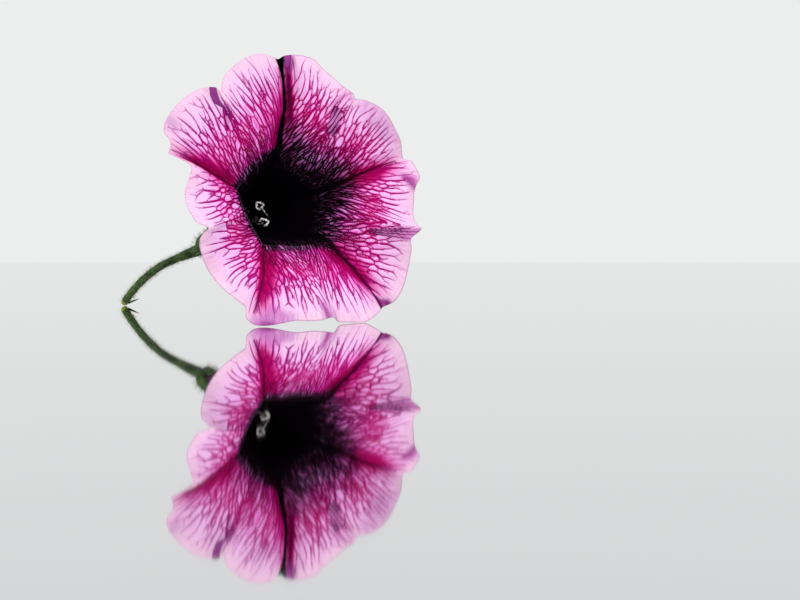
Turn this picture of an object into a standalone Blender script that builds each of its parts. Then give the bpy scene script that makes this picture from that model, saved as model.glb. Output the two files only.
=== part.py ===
# A cut petunia bloom lying on a surface: funnel corolla, calyx, stalk, pistil and five stamens.
# Sizes are in millimetres and degrees up to the last step, which writes metres.

import bpy
import bmesh
import math
import numpy as np

MM = 0.001

# Where the bloom stands, seen from the front with +Z up.
LIMB_CENTRE = np.array([11.34, -22.98, 33.14])
LIMB_AXIS = np.array([0.468, -0.851, 0.240])
THROAT_DROP = 9.0
STALK_JOINT = np.array([-17.0, 16.3, 17.0])
STALK_JOINT_AIM = np.array([0.638, -0.67, 0.378])
TUBE_FOOT_RISE = 2.6

# Petal sheet.
SHEET_THICK = 0.65
LIMB_COLUMNS = 120
LIMB_ROWS = (1.0, 0.95, 0.87, 0.77, 0.66, 0.54, 0.42, 0.31, 0.2, 0.1, 0.0)
TUBE_ROWS = (0.955, 0.88, 0.77, 0.64, 0.5, 0.36, 0.22, 0.1, 0.0)
LIMB_CURVE = 1.9
TUBE_BEND = 15.0
THROAT_RADIUS = 13.4
THROAT_BULGE = 0.7

# The edge's lowest places are cut level, so that the bloom rests on them.
FLOOR_CLAMP = 0.08
FLAT_SPOT = 0.3

# Radius of the tube's middle surface along its length, from the calyx to the throat.
TUBE_PROFILE = ((0.0, 2.1), (0.12, 2.2), (0.26, 2.9), (0.42, 4.3), (0.6, 6.3), (0.76, 8.6), (0.9, 11.2), (1.0, 13.4))

# Edge of the limb: azimuth and radius from the limb's centre, lobe by lobe, anticlockwise from the right.
EDGE_RIGHT = ((15.5, 33.9), (25.0, 33.4), (48.7, 30.9), (54.2, 29.2), (55.8, 29.9), (63.1, 30.8), (71.3, 33.1))
EDGE_TOP = ((76.9, 35.7), (86.7, 36.5), (89.1, 35.8), (99.3, 36.6), (117.9, 34.5), (124.3, 32.6), (127.6, 31.6))
EDGE_LEFT = ((130.4, 34.0), (134.7, 35.9), (153.4, 38.4), (156.7, 37.5), (158.6, 35.5), (161.2, 34.9),
             (163.2, 35.0), (164.3, 32.4), (165.6, 30.2), (167.8, 29.1), (185.6, 30.9), (195.0, 30.4))
EDGE_LOW_LEFT = ((200.3, 28.9), (201.8, 30.8), (203.3, 31.9), (212.5, 32.8), (219.5, 32.7), (234.7, 33.9),
                 (238.1, 34.1), (241.1, 36.7), (244.7, 37.0), (260.8, 34.1), (269.5, 33.9), (276.8, 33.3))
EDGE_LOW_RIGHT = ((278.8, 34.1), (287.0, 35.5), (294.1, 37.2), (305.8, 37.2), (314.1, 38.8), (333.3, 34.6),
                  (337.1, 33.1), (341.5, 34.2), (343.2, 33.6), (358.1, 33.2), (361.9, 34.1), (366.5, 36.2), (373.4, 35.9))
EDGE = EDGE_RIGHT + EDGE_TOP + EDGE_LEFT + EDGE_LOW_LEFT + EDGE_LOW_RIGHT

# How far the edge stands in front of the limb's plane.
LIFT = ((15.5, -1.6), (24.0, 1.0), (36.0, 2.8), (50.0, 3.2), (55.8, 3.0), (64.0, 2.0), (76.0, 0.3), (84.0, -1.2),
        (89.0, -2.0), (103.0, -1.9), (118.0, 0.3), (129.0, 1.0), (146.0, 0.9), (157.0, 0.2), (163.2, -0.9),
        (176.0, -0.2), (193.0, 0.9), (200.3, 2.4), (207.0, 1.2), (216.0, -0.6), (228.0, -1.6), (239.0, -0.2),
        (249.2, 1.0), (261.0, 3.6), (270.0, 3.6), (277.0, 2.2), (286.0, 0.6), (294.0, -0.6), (303.0, -2.6),
        (314.2, -4.8), (323.0, -3.8), (332.0, -1.6), (338.0, 0.2), (342.0, 1.2), (350.0, 0.0), (364.0, -0.8))

# Mid ribs: azimuth at the edge, azimuth and radius at the throat, depth of the valley halfway and at the edge,
# half width of the valley, sideways bow.
RIBS = ((15.5, 12.0, 14.2, 1.5, 0.6, 3.6, 0.0),
        (89.1, 95.0, 12.6, 4.2, 2.2, 4.6, 2.6),
        (163.2, 168.8, 12.9, 1.5, 0.8, 3.4, 0.0),
        (244.7, 238.3, 13.6, 1.7, 0.7, 3.6, -0.6),
        (310.0, 309.5, 15.0, 2.0, 1.2, 3.8, 0.0))

# Pleats between the lobes: azimuth, height, half width at the edge, share of the limb that they reach inwards.
PLEATS = ((55.0, 1.6, 3.0, 0.6), (129.5, 1.8, 2.2, 0.45), (200.3, 1.2, 3.0, 0.5), (278.0, 1.5, 2.6, 0.35),
          (341.5, 1.9, 2.6, 0.65))

# Waves of the edge: height, number round the limb, phase.
RUFFLES = ((0.55, 11.0, 40.0), (0.35, 17.0, 100.0))

# Calyx.
CALYX_WALL = 0.65
CALYX_CUP_RADIUS = 3.2
CALYX_CUP_HEIGHT = 3.0
CALYX_LOBES = 5
LOBE_LENGTH = 9.5
LOBE_WIDTH = 2.7
LOBE_SPREAD = 0.3
LOBE_TURN = 18.0
SEAT_GAP = 0.3

# Stalk, from its cut tip to the calyx.
STALK_PATH = ((-41.7, 41.5, 0.75), (-39.05, 37.75, 3.9), (-35.65, 32.75, 7.24), (-32.25, 28.55, 9.94),
              (-28.95, 25.15, 12.1), (-25.4, 22.2, 13.75), (-21.4, 19.3, 15.4), (-17.26, 16.5, 16.85))
STALK_RADIUS = 1.05
STALK_TOP_RADIUS = 1.6
STALK_SIDES = 12
SLIVER_START = (-40.6, 40.8, 0.65)
SLIVER_END = (-36.9, 39.4, 2.1)
SLIVER_WIDTH = 0.45

# Pistil and stamens. A stamen gives its azimuth on the tube wall, and then two places that it passes, each a share
# of the tube's length, an azimuth and a distance from the middle. The second is its anther. Two are long and three
# short.
OVARY_RADIUS = 1.2
OVARY_LENGTH = 4.2
STYLE_RADIUS = 0.34
STIGMA_RADIUS = 0.95
PISTIL_TOP = 0.46
FILAMENT_RADIUS = 0.32
ANTHER_RADIUS = 1.1
ANTHER_LENGTH = 2.4
STAMEN_SEAT = 0.36
SEAT_RUN = 0.04
STAMENS = ((297.0, 0.67, 287.0, 2.8, 0.78, 168.0, 4.1),
           (225.0, 0.58, 235.0, 4.0, 0.8, 240.0, 5.25),
           (153.0, 0.42, 153.0, 2.6, 0.5, 155.0, 3.0),
           (81.0, 0.4, 81.0, 2.6, 0.48, 90.0, 2.8),
           (9.0, 0.4, 9.0, 2.6, 0.46, 15.0, 2.8))

PETAL_COLOUR = (0.86, 0.34, 0.62, 1.0)
STALK_COLOUR = (0.035, 0.09, 0.03, 1.0)
CALYX_COLOUR = (0.04, 0.08, 0.03, 1.0)
PISTIL_COLOUR = (0.35, 0.42, 0.2, 1.0)
POLLEN_COLOUR = (0.75, 0.72, 0.6, 1.0)


def material(name, colour, roughness):
    """A plain Principled material."""
    made = bpy.data.materials.new(name)
    made.use_nodes = True
    shader = made.node_tree.nodes["Principled BSDF"]
    shader.inputs["Base Color"].default_value = colour
    shader.inputs["Roughness"].default_value = roughness
    shader.inputs["Metallic"].default_value = 0.0
    made.diffuse_color = colour
    return made


def unit(vector):
    """The vector at length one."""
    return vector / np.linalg.norm(vector, axis=-1, keepdims=True)


AXIS = unit(LIMB_AXIS)
SIDE = unit(np.cross([0.0, 0.0, 1.0], AXIS))
RISE = np.cross(AXIS, SIDE)
THROAT_CENTRE = LIMB_CENTRE - THROAT_DROP * AXIS
TUBE_FOOT = STALK_JOINT + TUBE_FOOT_RISE * STALK_JOINT_AIM
TUBE_MIDDLE = THROAT_CENTRE - TUBE_BEND * AXIS


def ease(x):
    """A smooth step from 0 to 1."""
    x = np.clip(x, 0.0, 1.0)
    return x * x * (3.0 - 2.0 * x)


def turn(first, second):
    """The angle from second to first, between -180 and 180 degrees."""
    return (first - second + 180.0) % 360.0 - 180.0


def round_curve(stations):
    """A closed curve of value against azimuth through the stations, with no overshoot between them."""
    xs = np.array([s[0] for s in stations])
    ys = np.array([s[1] for s in stations])
    xs = np.concatenate([xs[-2:] - 360.0, xs, xs[:3] + 360.0])
    ys = np.concatenate([ys[-2:], ys, ys[:3]])
    gaps = np.diff(xs)
    slopes = np.diff(ys) / gaps
    tangents = np.zeros(len(xs))
    for i in range(1, len(xs) - 1):
        if slopes[i - 1] * slopes[i] > 0.0:
            before = 2.0 * gaps[i] + gaps[i - 1]
            after = gaps[i] + 2.0 * gaps[i - 1]
            tangents[i] = (before + after) / (before / slopes[i - 1] + after / slopes[i])

    def value(azimuth):
        x = np.mod(azimuth - xs[1], 360.0) + xs[1]
        i = np.clip(np.searchsorted(xs, x, side="right") - 1, 0, len(xs) - 2)
        t = (x - xs[i]) / gaps[i]
        ends = ys[i] * (1.0 + 2.0 * t) * (1.0 - t) ** 2 + ys[i + 1] * t * t * (3.0 - 2.0 * t)
        bends = tangents[i] * t * (1.0 - t) ** 2 + tangents[i + 1] * t * t * (t - 1.0)
        return ends + gaps[i] * bends

    return value


edge_radius = round_curve(EDGE)
edge_lift = round_curve(LIFT)


def polar(radius, azimuth):
    """Flat coordinates of a radius and an azimuth in degrees."""
    angle = np.radians(azimuth)
    return np.stack([radius * np.cos(angle), radius * np.sin(angle)], axis=-1)


THROAT_CORNERS = np.array([polar(rib[2], rib[1]) for rib in RIBS])


def sector(azimuth):
    """Which pair of ribs an azimuth lies between, and how far along."""
    starts = np.array([rib[0] for rib in RIBS])
    ends = np.append(starts[1:], starts[0] + 360.0)
    x = np.mod(azimuth - starts[0], 360.0) + starts[0]
    index = np.clip(np.searchsorted(starts, x, side="right") - 1, 0, len(RIBS) - 1)
    return index, (x - starts[index]) / (ends[index] - starts[index])


def throat_edge(azimuth):
    """Flat place on the throat's five sided edge, with its corners at the ribs."""
    index, t = sector(azimuth)
    first = THROAT_CORNERS[index]
    second = THROAT_CORNERS[(index + 1) % len(RIBS)]
    place = first * (1.0 - t)[:, None] + second * t[:, None]
    bulge = THROAT_BULGE * 4.0 * t * (1.0 - t)
    return place + unit(place) * bulge[:, None]


def limb_point(azimuth, share):
    """Place on the limb at a share of the way from the throat to the edge."""
    inner = throat_edge(azimuth)
    outer = polar(edge_radius(azimuth), azimuth)
    flat = inner + (outer - inner) * share[:, None]
    radius = np.linalg.norm(flat, axis=-1)
    height = -THROAT_DROP + (edge_lift(azimuth) + THROAT_DROP) * (1.0 - (1.0 - share) ** LIMB_CURVE)
    across = np.stack([flat[:, 1], -flat[:, 0]], axis=-1) / radius[:, None]
    for at_edge, _, _, middle_depth, edge_depth, half_width, bow in RIBS:
        away = turn(azimuth, at_edge)
        middle = middle_depth * ease(share / 0.22) * (1.0 - ease((share - 0.55) / 0.45))
        depth = middle + edge_depth * ease((share - 0.4) / 0.6)
        beside = np.clip(1.0 - np.radians(np.abs(away)) * radius / half_width, 0.0, 1.0)
        height = height - depth * beside ** 1.5
        pull = bow * 4.0 * share * (1.0 - share) * (1.0 - ease(np.abs(away) / 34.0))
        flat = flat + across * pull[:, None]
    for at_edge, tall, half_width, reach in PLEATS:
        beside = np.clip(1.0 - np.radians(np.abs(turn(azimuth, at_edge))) * radius / half_width, 0.0, 1.0)
        height = height + tall * ease((share - 1.0 + reach) / reach) * beside ** 1.4
    for tall, count, phase in RUFFLES:
        height = height + ease((share - 0.5) / 0.5) * tall * np.sin(np.radians(azimuth * count + phase))
    return LIMB_CENTRE + flat[:, :1] * SIDE + flat[:, 1:] * RISE + height[:, None] * AXIS


def spine(t):
    """Middle of the tube, from its foot in the calyx to the throat."""
    t = np.asarray(t, float)[..., None]
    return TUBE_FOOT * (1.0 - t) ** 2 + 2.0 * TUBE_MIDDLE * t * (1.0 - t) + THROAT_CENTRE * t * t


def spine_frame(t):
    """The tube's own directions at a share of its length: along, side and rise."""
    t = np.asarray(t, float)[..., None]
    along = unit(2.0 * (TUBE_MIDDLE - TUBE_FOOT) * (1.0 - t) + 2.0 * (THROAT_CENTRE - TUBE_MIDDLE) * t)
    side = unit(SIDE - along * np.sum(SIDE * along, axis=-1, keepdims=True))
    return along, side, np.cross(along, side)


def tube_radius(t):
    """Radius of the tube's middle surface."""
    return np.interp(t, [p[0] for p in TUBE_PROFILE], [p[1] for p in TUBE_PROFILE])


def tube_point(azimuth, t):
    """Place on the tube's wall, round at the foot and five sided at the throat."""
    flat = throat_edge(azimuth)
    ring = unit(flat) * THROAT_RADIUS
    sided = ease((t - 0.15) / 0.85)[:, None]
    flat = (ring * (1.0 - sided) + flat * sided) * (tube_radius(t) / THROAT_RADIUS)[:, None]
    _, side, rise = spine_frame(t)
    return spine(t) + flat[:, :1] * side + flat[:, 1:] * rise


def limb_azimuths():
    """Azimuths of the limb's columns: one on each point of the edge, the rest in the widest gaps."""
    made = [s[0] for s in EDGE] + [rib[0] for rib in RIBS] + [pleat[0] for pleat in PLEATS]
    made = sorted({round(a % 360.0, 1) for a in made})
    made = [a for i, a in enumerate(made) if i == 0 or a - made[i - 1] > 0.9]
    while len(made) < LIMB_COLUMNS:
        gaps = [(made + [made[0] + 360.0])[i + 1] - made[i] for i in range(len(made))]
        widest = gaps.index(max(gaps))
        made.insert(widest + 1, made[widest] + gaps[widest] / 2.0)
    return np.array(made)


def ring_faces(first, second, count):
    """Four sided faces between two rings of the same count."""
    return [(first + i, first + (i + 1) % count, second + (i + 1) % count, second + i) for i in range(count)]


def halving_faces(first, second, count):
    """Three sided faces from a ring to one with half as many points."""
    faces = []
    half = count // 2
    for i in range(half):
        outer = [first + 2 * i, first + 2 * i + 1, first + (2 * i + 2) % count]
        inner = [second + i, second + (i + 1) % half]
        faces.append((outer[0], outer[1], inner[0]))
        faces.append((outer[1], inner[1], inner[0]))
        faces.append((outer[1], outer[2], inner[1]))
    return faces


def add_object(name, points, faces, look, smooth=True):
    """A mesh object of points in millimetres, with its faces turned outward."""
    mesh = bpy.data.meshes.new(name)
    mesh.from_pydata([tuple(float(c) * MM for c in p) for p in points], [], faces)
    work = bmesh.new()
    work.from_mesh(mesh)
    bmesh.ops.triangulate(work, faces=work.faces[:], quad_method="SHORT_EDGE")
    bmesh.ops.recalc_face_normals(work, faces=work.faces[:])
    work.to_mesh(mesh)
    work.free()
    for face in mesh.polygons:
        face.use_smooth = smooth
    mesh.materials.append(look)
    made = bpy.data.objects.new(name, mesh)
    bpy.context.scene.collection.objects.link(made)
    return made


def thicken(points, faces, thickness):
    """Turn a sheet into a closed shell, half its thickness on each side, split alike on both."""
    sheet = bmesh.new()
    corners = [sheet.verts.new(p) for p in points]
    for face in faces:
        sheet.faces.new([corners[i] for i in face])
    bmesh.ops.triangulate(sheet, faces=sheet.faces[:], quad_method="SHORT_EDGE")
    bmesh.ops.recalc_face_normals(sheet, faces=sheet.faces[:])
    sheet.normal_update()
    sheet.verts.index_update()
    count = len(sheet.verts)
    half = thickness / 2.0
    front = [v.co + half * v.normal for v in sheet.verts]
    back = [v.co - half * v.normal for v in sheet.verts]
    split = [tuple(v.index for v in face.verts) for face in sheet.faces]
    shell = split + [tuple(count + i for i in reversed(face)) for face in split]
    for edge in sheet.edges:
        if edge.is_boundary:
            loop = edge.link_loops[0]
            first = loop.vert.index
            second = loop.link_loop_next.vert.index
            shell.append((second, first, count + first, count + second))
    sheet.free()
    return np.array(front + back), shell


def build_corolla(look):
    """The funnel and its five lobes, one sheet."""
    azimuths = limb_azimuths()
    rows = [limb_point(azimuths, np.full(LIMB_COLUMNS, share)) for share in LIMB_ROWS]
    half = azimuths[::2]
    rows += [tube_point(half, np.full(len(half), t)) for t in TUBE_ROWS]
    rows[0][:, 2] = np.maximum(rows[0][:, 2], FLOOR_CLAMP)
    faces = []
    start = 0
    for i in range(len(rows) - 1):
        following = start + len(rows[i])
        if len(rows[i]) == len(rows[i + 1]):
            faces += ring_faces(start, following, len(rows[i]))
        else:
            faces += halving_faces(start, following, len(rows[i]))
        start = following
    points, shell = thicken(np.concatenate(rows), faces, SHEET_THICK)
    points[points[:, 2] < FLAT_SPOT, 2] = 0.0
    return add_object("corolla", points, shell, look)


def build_calyx(look):
    """A small cup round the tube's foot with five narrow lobes."""
    columns = 5
    total = columns * CALYX_LOBES
    along, side, rise = spine_frame(0.0)
    base = STALK_JOINT + (SEAT_GAP + CALYX_WALL / 2.0) * along
    points = [base]
    faces = []

    def place(azimuth, radius, height):
        flat = polar(radius, azimuth)
        return base + flat[0] * side + flat[1] * rise + height * along

    azimuths = [LOBE_TURN + 360.0 * i / total for i in range(total)]
    cup = ((0.55, 0.0), (0.88, 0.25), (1.0, 1.2), (1.0, CALYX_CUP_HEIGHT))
    for share, height in cup:
        points += [place(a, CALYX_CUP_RADIUS * share, height) for a in azimuths]
    faces += [(0, 1 + (i + 1) % total, 1 + i) for i in range(total)]
    for row in range(len(cup) - 1):
        faces += ring_faces(1 + row * total, 1 + (row + 1) * total, total)
    rim = 1 + (len(cup) - 1) * total
    steps = (0.14, 0.32, 0.52, 0.72, 0.88)
    for lobe in range(CALYX_LOBES):
        middle = azimuths[lobe * columns] + 360.0 / total * (columns - 1) / 2.0
        below = [rim + lobe * columns + i for i in range(columns)]
        for share in steps:
            height = CALYX_CUP_HEIGHT + LOBE_LENGTH * share
            radius = CALYX_CUP_RADIUS + LOBE_SPREAD * LOBE_LENGTH * share ** 1.5
            width = LOBE_WIDTH * (1.0 - 0.6 * share ** 3.0) * (1.0 + 0.2 * math.sin(math.pi * share))
            row = []
            for i in range(columns):
                across = (i / (columns - 1) - 0.5) * width
                bend = 0.1 * width * (2.0 * i / (columns - 1) - 1.0) ** 2
                turned = middle + math.degrees(across / radius)
                points.append(place(turned, radius - bend, height))
                row.append(len(points) - 1)
            faces += [(below[i], below[i + 1], row[i + 1], row[i]) for i in range(columns - 1)]
            below = row
        points.append(place(middle, CALYX_CUP_RADIUS + LOBE_SPREAD * LOBE_LENGTH, CALYX_CUP_HEIGHT + LOBE_LENGTH))
        tip = len(points) - 1
        faces += [(below[i], below[i + 1], tip) for i in range(columns - 1)]
    points, shell = thicken(points, faces, CALYX_WALL)
    return add_object("calyx", points, shell, look)


def smooth_path(points, count):
    """Points at even steps of a smooth curve through the given ones."""
    points = np.array(points, float)
    ends = np.concatenate([[2.0 * points[0] - points[1]], points, [2.0 * points[-1] - points[-2]]])
    made = []
    for x in np.linspace(0.0, len(points) - 1.0, count):
        i = min(int(x), len(points) - 2)
        t = x - i
        a, b, c, d = ends[i:i + 4]
        made.append(0.5 * (2.0 * b + (c - a) * t + (2.0 * a - 5.0 * b + 4.0 * c - d) * t * t
                           + (3.0 * b - a - 3.0 * c + d) * t ** 3))
    return np.array(made)


def rod(path, radii, sides, flatten=1.0):
    """Points and faces of a closed round rod along a path."""
    path = np.asarray(path, float)
    along = unit(np.gradient(path, axis=0))
    across = unit(np.cross(along[0], [0.12, 0.2, 1.0]))
    points = []
    faces = []
    for place, direction, radius in zip(path, along, radii):
        across = unit(across - direction * np.dot(across, direction))
        up = np.cross(direction, across)
        for k in range(sides):
            angle = 2.0 * math.pi * k / sides
            points.append(place + radius * (math.cos(angle) * across + flatten * math.sin(angle) * up))
    for row in range(len(path) - 1):
        faces += ring_faces(row * sides, (row + 1) * sides, sides)
    points += [path[0], path[-1]]
    last = (len(path) - 1) * sides
    faces += [(len(points) - 2, (k + 1) % sides, k) for k in range(sides)]
    faces += [(len(points) - 1, last + k, last + (k + 1) % sides) for k in range(sides)]
    return points, faces


def join(made, other):
    """Unite another solid with this one."""
    union = made.modifiers.new("Union", "BOOLEAN")
    union.operation = "UNION"
    union.solver = "EXACT"
    union.object = other
    other.hide_render = True
    other.display_type = "WIRE"


def build_stalk(look):
    """The flower stalk, thicker under the calyx, with the sliver of skin at its cut end."""
    path = smooth_path(STALK_PATH, 26)
    share = np.linspace(0.0, 1.0, len(path))
    radii = STALK_RADIUS + (STALK_TOP_RADIUS - STALK_RADIUS) * ease((share - 0.72) / 0.28)
    points, faces = rod(path, radii, STALK_SIDES)
    points = np.array(points)
    points[:, 2] = np.maximum(points[:, 2], 0.0)
    stalk = add_object("stalk", points, faces, look)
    path = smooth_path((SLIVER_START, SLIVER_END), 5)
    radii = (SLIVER_WIDTH, SLIVER_WIDTH, SLIVER_WIDTH * 0.9, SLIVER_WIDTH * 0.6, SLIVER_WIDTH * 0.15)
    points, faces = rod(path, radii, 8, 0.7)
    sliver = add_object("sliver_cutter", points, faces, look)
    join(stalk, sliver)
    return stalk


def build_pistil(look):
    """Ovary, style and stigma in the middle of the tube."""
    count = 22
    length = float(np.linalg.norm(np.diff(spine(np.linspace(0.0, 1.0, 60)), axis=0), axis=1).sum())
    t = np.linspace(0.012, PISTIL_TOP, count)
    height = t * length
    swell = OVARY_RADIUS * np.sqrt(np.clip(1.0 - ((height - OVARY_LENGTH * 0.4) / (OVARY_LENGTH * 0.6)) ** 2, 0.0, 1.0))
    radii = np.maximum(swell, STYLE_RADIUS)
    radii[0] = OVARY_RADIUS * 0.75
    radii[-4:] = (STYLE_RADIUS * 1.3, STIGMA_RADIUS * 0.9, STIGMA_RADIUS, STIGMA_RADIUS * 0.6)
    points, faces = rod(spine(t), radii, 12)
    return add_object("pistil", points, faces, look)


def tube_place(t, azimuth, radius):
    """A place inside the tube."""
    _, side, rise = spine_frame(t)
    flat = polar(radius, azimuth)
    return spine(t) + flat[0] * side + flat[1] * rise


def build_stamen(index, seat, stamen, look):
    """One filament from the tube's wall and its anther."""
    wall = tube_radius(STAMEN_SEAT) - SHEET_THICK / 2.0 - SEAT_GAP - FILAMENT_RADIUS
    stations = ((STAMEN_SEAT, seat, wall), (STAMEN_SEAT + SEAT_RUN, seat, wall * 0.98), stamen[:3], stamen[3:])
    line = smooth_path([tube_place(*s) for s in stations], 60)
    run = np.concatenate([[0.0], np.cumsum(np.linalg.norm(np.diff(line, axis=0), axis=1))])
    stem = run[-1] - ANTHER_LENGTH
    steps = np.concatenate([np.linspace(0.0, stem, 10), stem + np.array((0.15, 0.5, 0.85, 1.0)) * ANTHER_LENGTH])
    path = np.stack([np.interp(steps, run, line[:, k]) for k in range(3)], axis=-1)
    radii = np.full(len(path), FILAMENT_RADIUS)
    radii[-4:] = np.array((0.85, 1.0, 0.85, 0.35)) * ANTHER_RADIUS
    points, faces = rod(path, radii, 10, 0.85)
    return add_object("stamen_" + str(index), points, faces, look)


def main():
    for old in list(bpy.data.objects):
        bpy.data.objects.remove(old, do_unlink=True)
    petal = material("petal", PETAL_COLOUR, 0.6)
    green = material("green_skin", STALK_COLOUR, 0.7)
    leafy = material("calyx_green", CALYX_COLOUR, 0.75)
    pale = material("pistil_green", PISTIL_COLOUR, 0.6)
    pollen = material("pollen", POLLEN_COLOUR, 0.9)
    build_corolla(petal)
    build_calyx(leafy)
    build_stalk(green)
    build_pistil(pale)
    for index, stamen in enumerate(STAMENS):
        build_stamen(index + 1, stamen[0], stamen[1:], pollen)


main()
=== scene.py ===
import math
import random
from collections import namedtuple

import bmesh
import bpy
import numpy as np
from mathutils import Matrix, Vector, geometry, kdtree


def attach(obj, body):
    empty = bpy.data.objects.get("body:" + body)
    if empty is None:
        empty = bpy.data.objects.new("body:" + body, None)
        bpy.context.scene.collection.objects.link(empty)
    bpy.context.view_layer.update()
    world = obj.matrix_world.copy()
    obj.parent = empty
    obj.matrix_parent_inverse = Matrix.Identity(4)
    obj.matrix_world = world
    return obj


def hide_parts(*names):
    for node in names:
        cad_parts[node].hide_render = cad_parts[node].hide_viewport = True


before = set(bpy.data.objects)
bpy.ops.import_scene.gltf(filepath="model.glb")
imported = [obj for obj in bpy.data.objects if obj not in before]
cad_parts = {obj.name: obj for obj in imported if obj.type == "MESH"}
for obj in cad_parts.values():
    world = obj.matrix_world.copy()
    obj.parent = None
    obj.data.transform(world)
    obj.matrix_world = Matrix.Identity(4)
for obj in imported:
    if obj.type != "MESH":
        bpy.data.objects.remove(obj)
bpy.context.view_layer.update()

# Lengths here are millimetres and azimuths degrees, until the last step of each piece writes metres.
MM = 0.001

# Form of the bloom, the same named values as in the part's source.
LIMB_CENTRE = np.array([11.34, -22.98, 33.14])
LIMB_AXIS = np.array([0.468, -0.851, 0.240])
THROAT_DROP = 9.0
STALK_JOINT = np.array([-17.0, 16.3, 17.0])
STALK_JOINT_AIM = np.array([0.638, -0.67, 0.378])
TUBE_FOOT_RISE = 2.6
LIMB_CURVE = 1.9
TUBE_BEND = 15.0
THROAT_RADIUS = 13.4
THROAT_BULGE = 0.7
TUBE_PROFILE = (
    (0, 2.1), (0.12, 2.2), (0.26, 2.9), (0.42, 4.3), (0.6, 6.3), (0.76, 8.6), (0.9, 11.2), (1, 13.4))

EDGE_RIGHT = (
    (15.5, 33.9), (25, 33.4), (48.7, 30.9), (54.2, 29.2), (55.8, 29.9), (63.1, 30.8), (71.3, 33.1))
EDGE_TOP = (
    (76.9, 35.7), (86.7, 36.5), (89.1, 35.8), (99.3, 36.6), (117.9, 34.5), (124.3, 32.6), (127.6, 31.6))
EDGE_LEFT = (
    (130.4, 34), (134.7, 35.9), (153.4, 38.4), (156.7, 37.5), (158.6, 35.5), (161.2, 34.9), (163.2, 35),
    (164.3, 32.4), (165.6, 30.2), (167.8, 29.1), (185.6, 30.9), (195, 30.4))
EDGE_LOW_LEFT = (
    (200.3, 28.9), (201.8, 30.8), (203.3, 31.9), (212.5, 32.8), (219.5, 32.7), (234.7, 33.9),
    (238.1, 34.1), (241.1, 36.7), (244.7, 37), (260.8, 34.1), (269.5, 33.9), (276.8, 33.3))
EDGE_LOW_RIGHT = (
    (278.8, 34.1), (287, 35.5), (294.1, 37.2), (305.8, 37.2), (314.1, 38.8), (333.3, 34.6), (337.1, 33.1),
    (341.5, 34.2), (343.2, 33.6), (358.1, 33.2), (361.9, 34.1), (366.5, 36.2), (373.4, 35.9))
EDGE = EDGE_RIGHT + EDGE_TOP + EDGE_LEFT + EDGE_LOW_LEFT + EDGE_LOW_RIGHT
LIFT = (
    (15.5, -1.6), (24, 1), (36, 2.8), (50, 3.2), (55.8, 3), (64, 2), (76, 0.3), (84, -1.2), (89, -2),
    (103, -1.9), (118, 0.3), (129, 1), (146, 0.9), (157, 0.2), (163.2, -0.9), (176, -0.2), (193, 0.9),
    (200.3, 2.4), (207, 1.2), (216, -0.6), (228, -1.6), (239, -0.2), (249.2, 1), (261, 3.6), (270, 3.6),
    (277, 2.2), (286, 0.6), (294, -0.6), (303, -2.6), (314.2, -4.8), (323, -3.8), (332, -1.6), (338, 0.2),
    (342, 1.2), (350, 0), (364, -0.8))

# Mid ribs: azimuth at the edge, azimuth and radius at the throat, depth of the valley halfway and at the
# edge, half width of the valley, sideways bow.
RIBS = ((15.5, 12.0, 14.2, 1.5, 0.6, 3.6, 0.0),
        (89.1, 95.0, 12.6, 4.2, 2.2, 4.6, 2.6),
        (163.2, 168.8, 12.9, 1.5, 0.8, 3.4, 0.0),
        (244.7, 238.3, 13.6, 1.7, 0.7, 3.6, -0.6),
        (310.0, 309.5, 15.0, 2.0, 1.2, 3.8, 0.0))
PLEATS = (
    (55, 1.6, 3, 0.6), (129.5, 1.8, 2.2, 0.45), (200.3, 1.2, 3, 0.5), (278, 1.5, 2.6, 0.35),
    (341.5, 1.9, 2.6, 0.65))
RUFFLES = ((0.55, 11, 40), (0.35, 17, 100))

# How the ribs' valleys run outwards, as shares of the limb: where they reach their depth halfway, where
# they start to leave it, and where the depth at the edge begins. Then how sharp valleys and pleats are,
# how far round a rib's bow pulls the petal, and the share where the ruffles begin.
VALLEY_FULL = 0.22
VALLEY_LEAVES = 0.55
EDGE_VALLEY_BEGINS = 0.4
VALLEY_SHARPNESS = 1.5
PLEAT_SHARPNESS = 1.4
BOW_REACH = 34.0
RUFFLES_BEGIN = 0.5

# Share of the tube up to which it is round.
TUBE_ROUND = 0.15

# The fine petal sheet: columns round it, then rows as the share that each stretch of them reaches and
# their count. Then its thickness, how deep the veins are sunk, how high the meshes stand between them,
# the breadth of each slope, and the shares where the sheet thins, the net sets in and the relief ends.
COLUMNS = 787
SEAM_AZIMUTH = 89.1
LIMB_LENGTH = 22.0
TUBE_LENGTH = 40.9
FOOT_SHARE = -TUBE_LENGTH / LIMB_LENGTH
FRONT_ROWS = ((0.9, 6), (0, 84), (-0.3, 9), (-0.52, 3), (FOOT_SHARE, 5))
BACK_ROWS = ((0, 6), (1, 12))
PETAL_THICK = 0.34
EDGE_THINS = 0.85
EDGE_THINNER = 0.5
VEIN_RELIEF = 0.07
VEIN_SLOPE = 0.22
CELL_RELIEF = 0.06
CELL_SLOPE = 0.7
NET_SETS_IN = 0.1
RELIEF_ENDS = 0.88

# Veins of each half lobe: azimuth of its rib and of its pleat, degrees that the veins lean towards the
# pleat, width of a mesh in degrees and length of a row of meshes at the throat.
VEIN_HALVES = (
    (15.5, 55, 13, 2.2, 0.085), (89.1, 55, 15, 2.15, 0.09), (89.1, 129.5, 19, 2.1, 0.12),
    (163.2, 129.5, 11, 2.3, 0.085), (163.2, 200.3, 13, 3.2, 0.1), (244.7, 200.3, 21, 2.6, 0.12),
    (244.7, 278, 11, 2.15, 0.085), (310, 278, 20, 2.1, 0.13), (310, 341.5, 13, 2.15, 0.09),
    (375.5, 341.5, 19, 2.1, 0.1))
VEIN_SEED = 11
VEIN_START = -0.34
MESH_STRETCH = 0.32
MESH_SCATTER = 0.44

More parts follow.
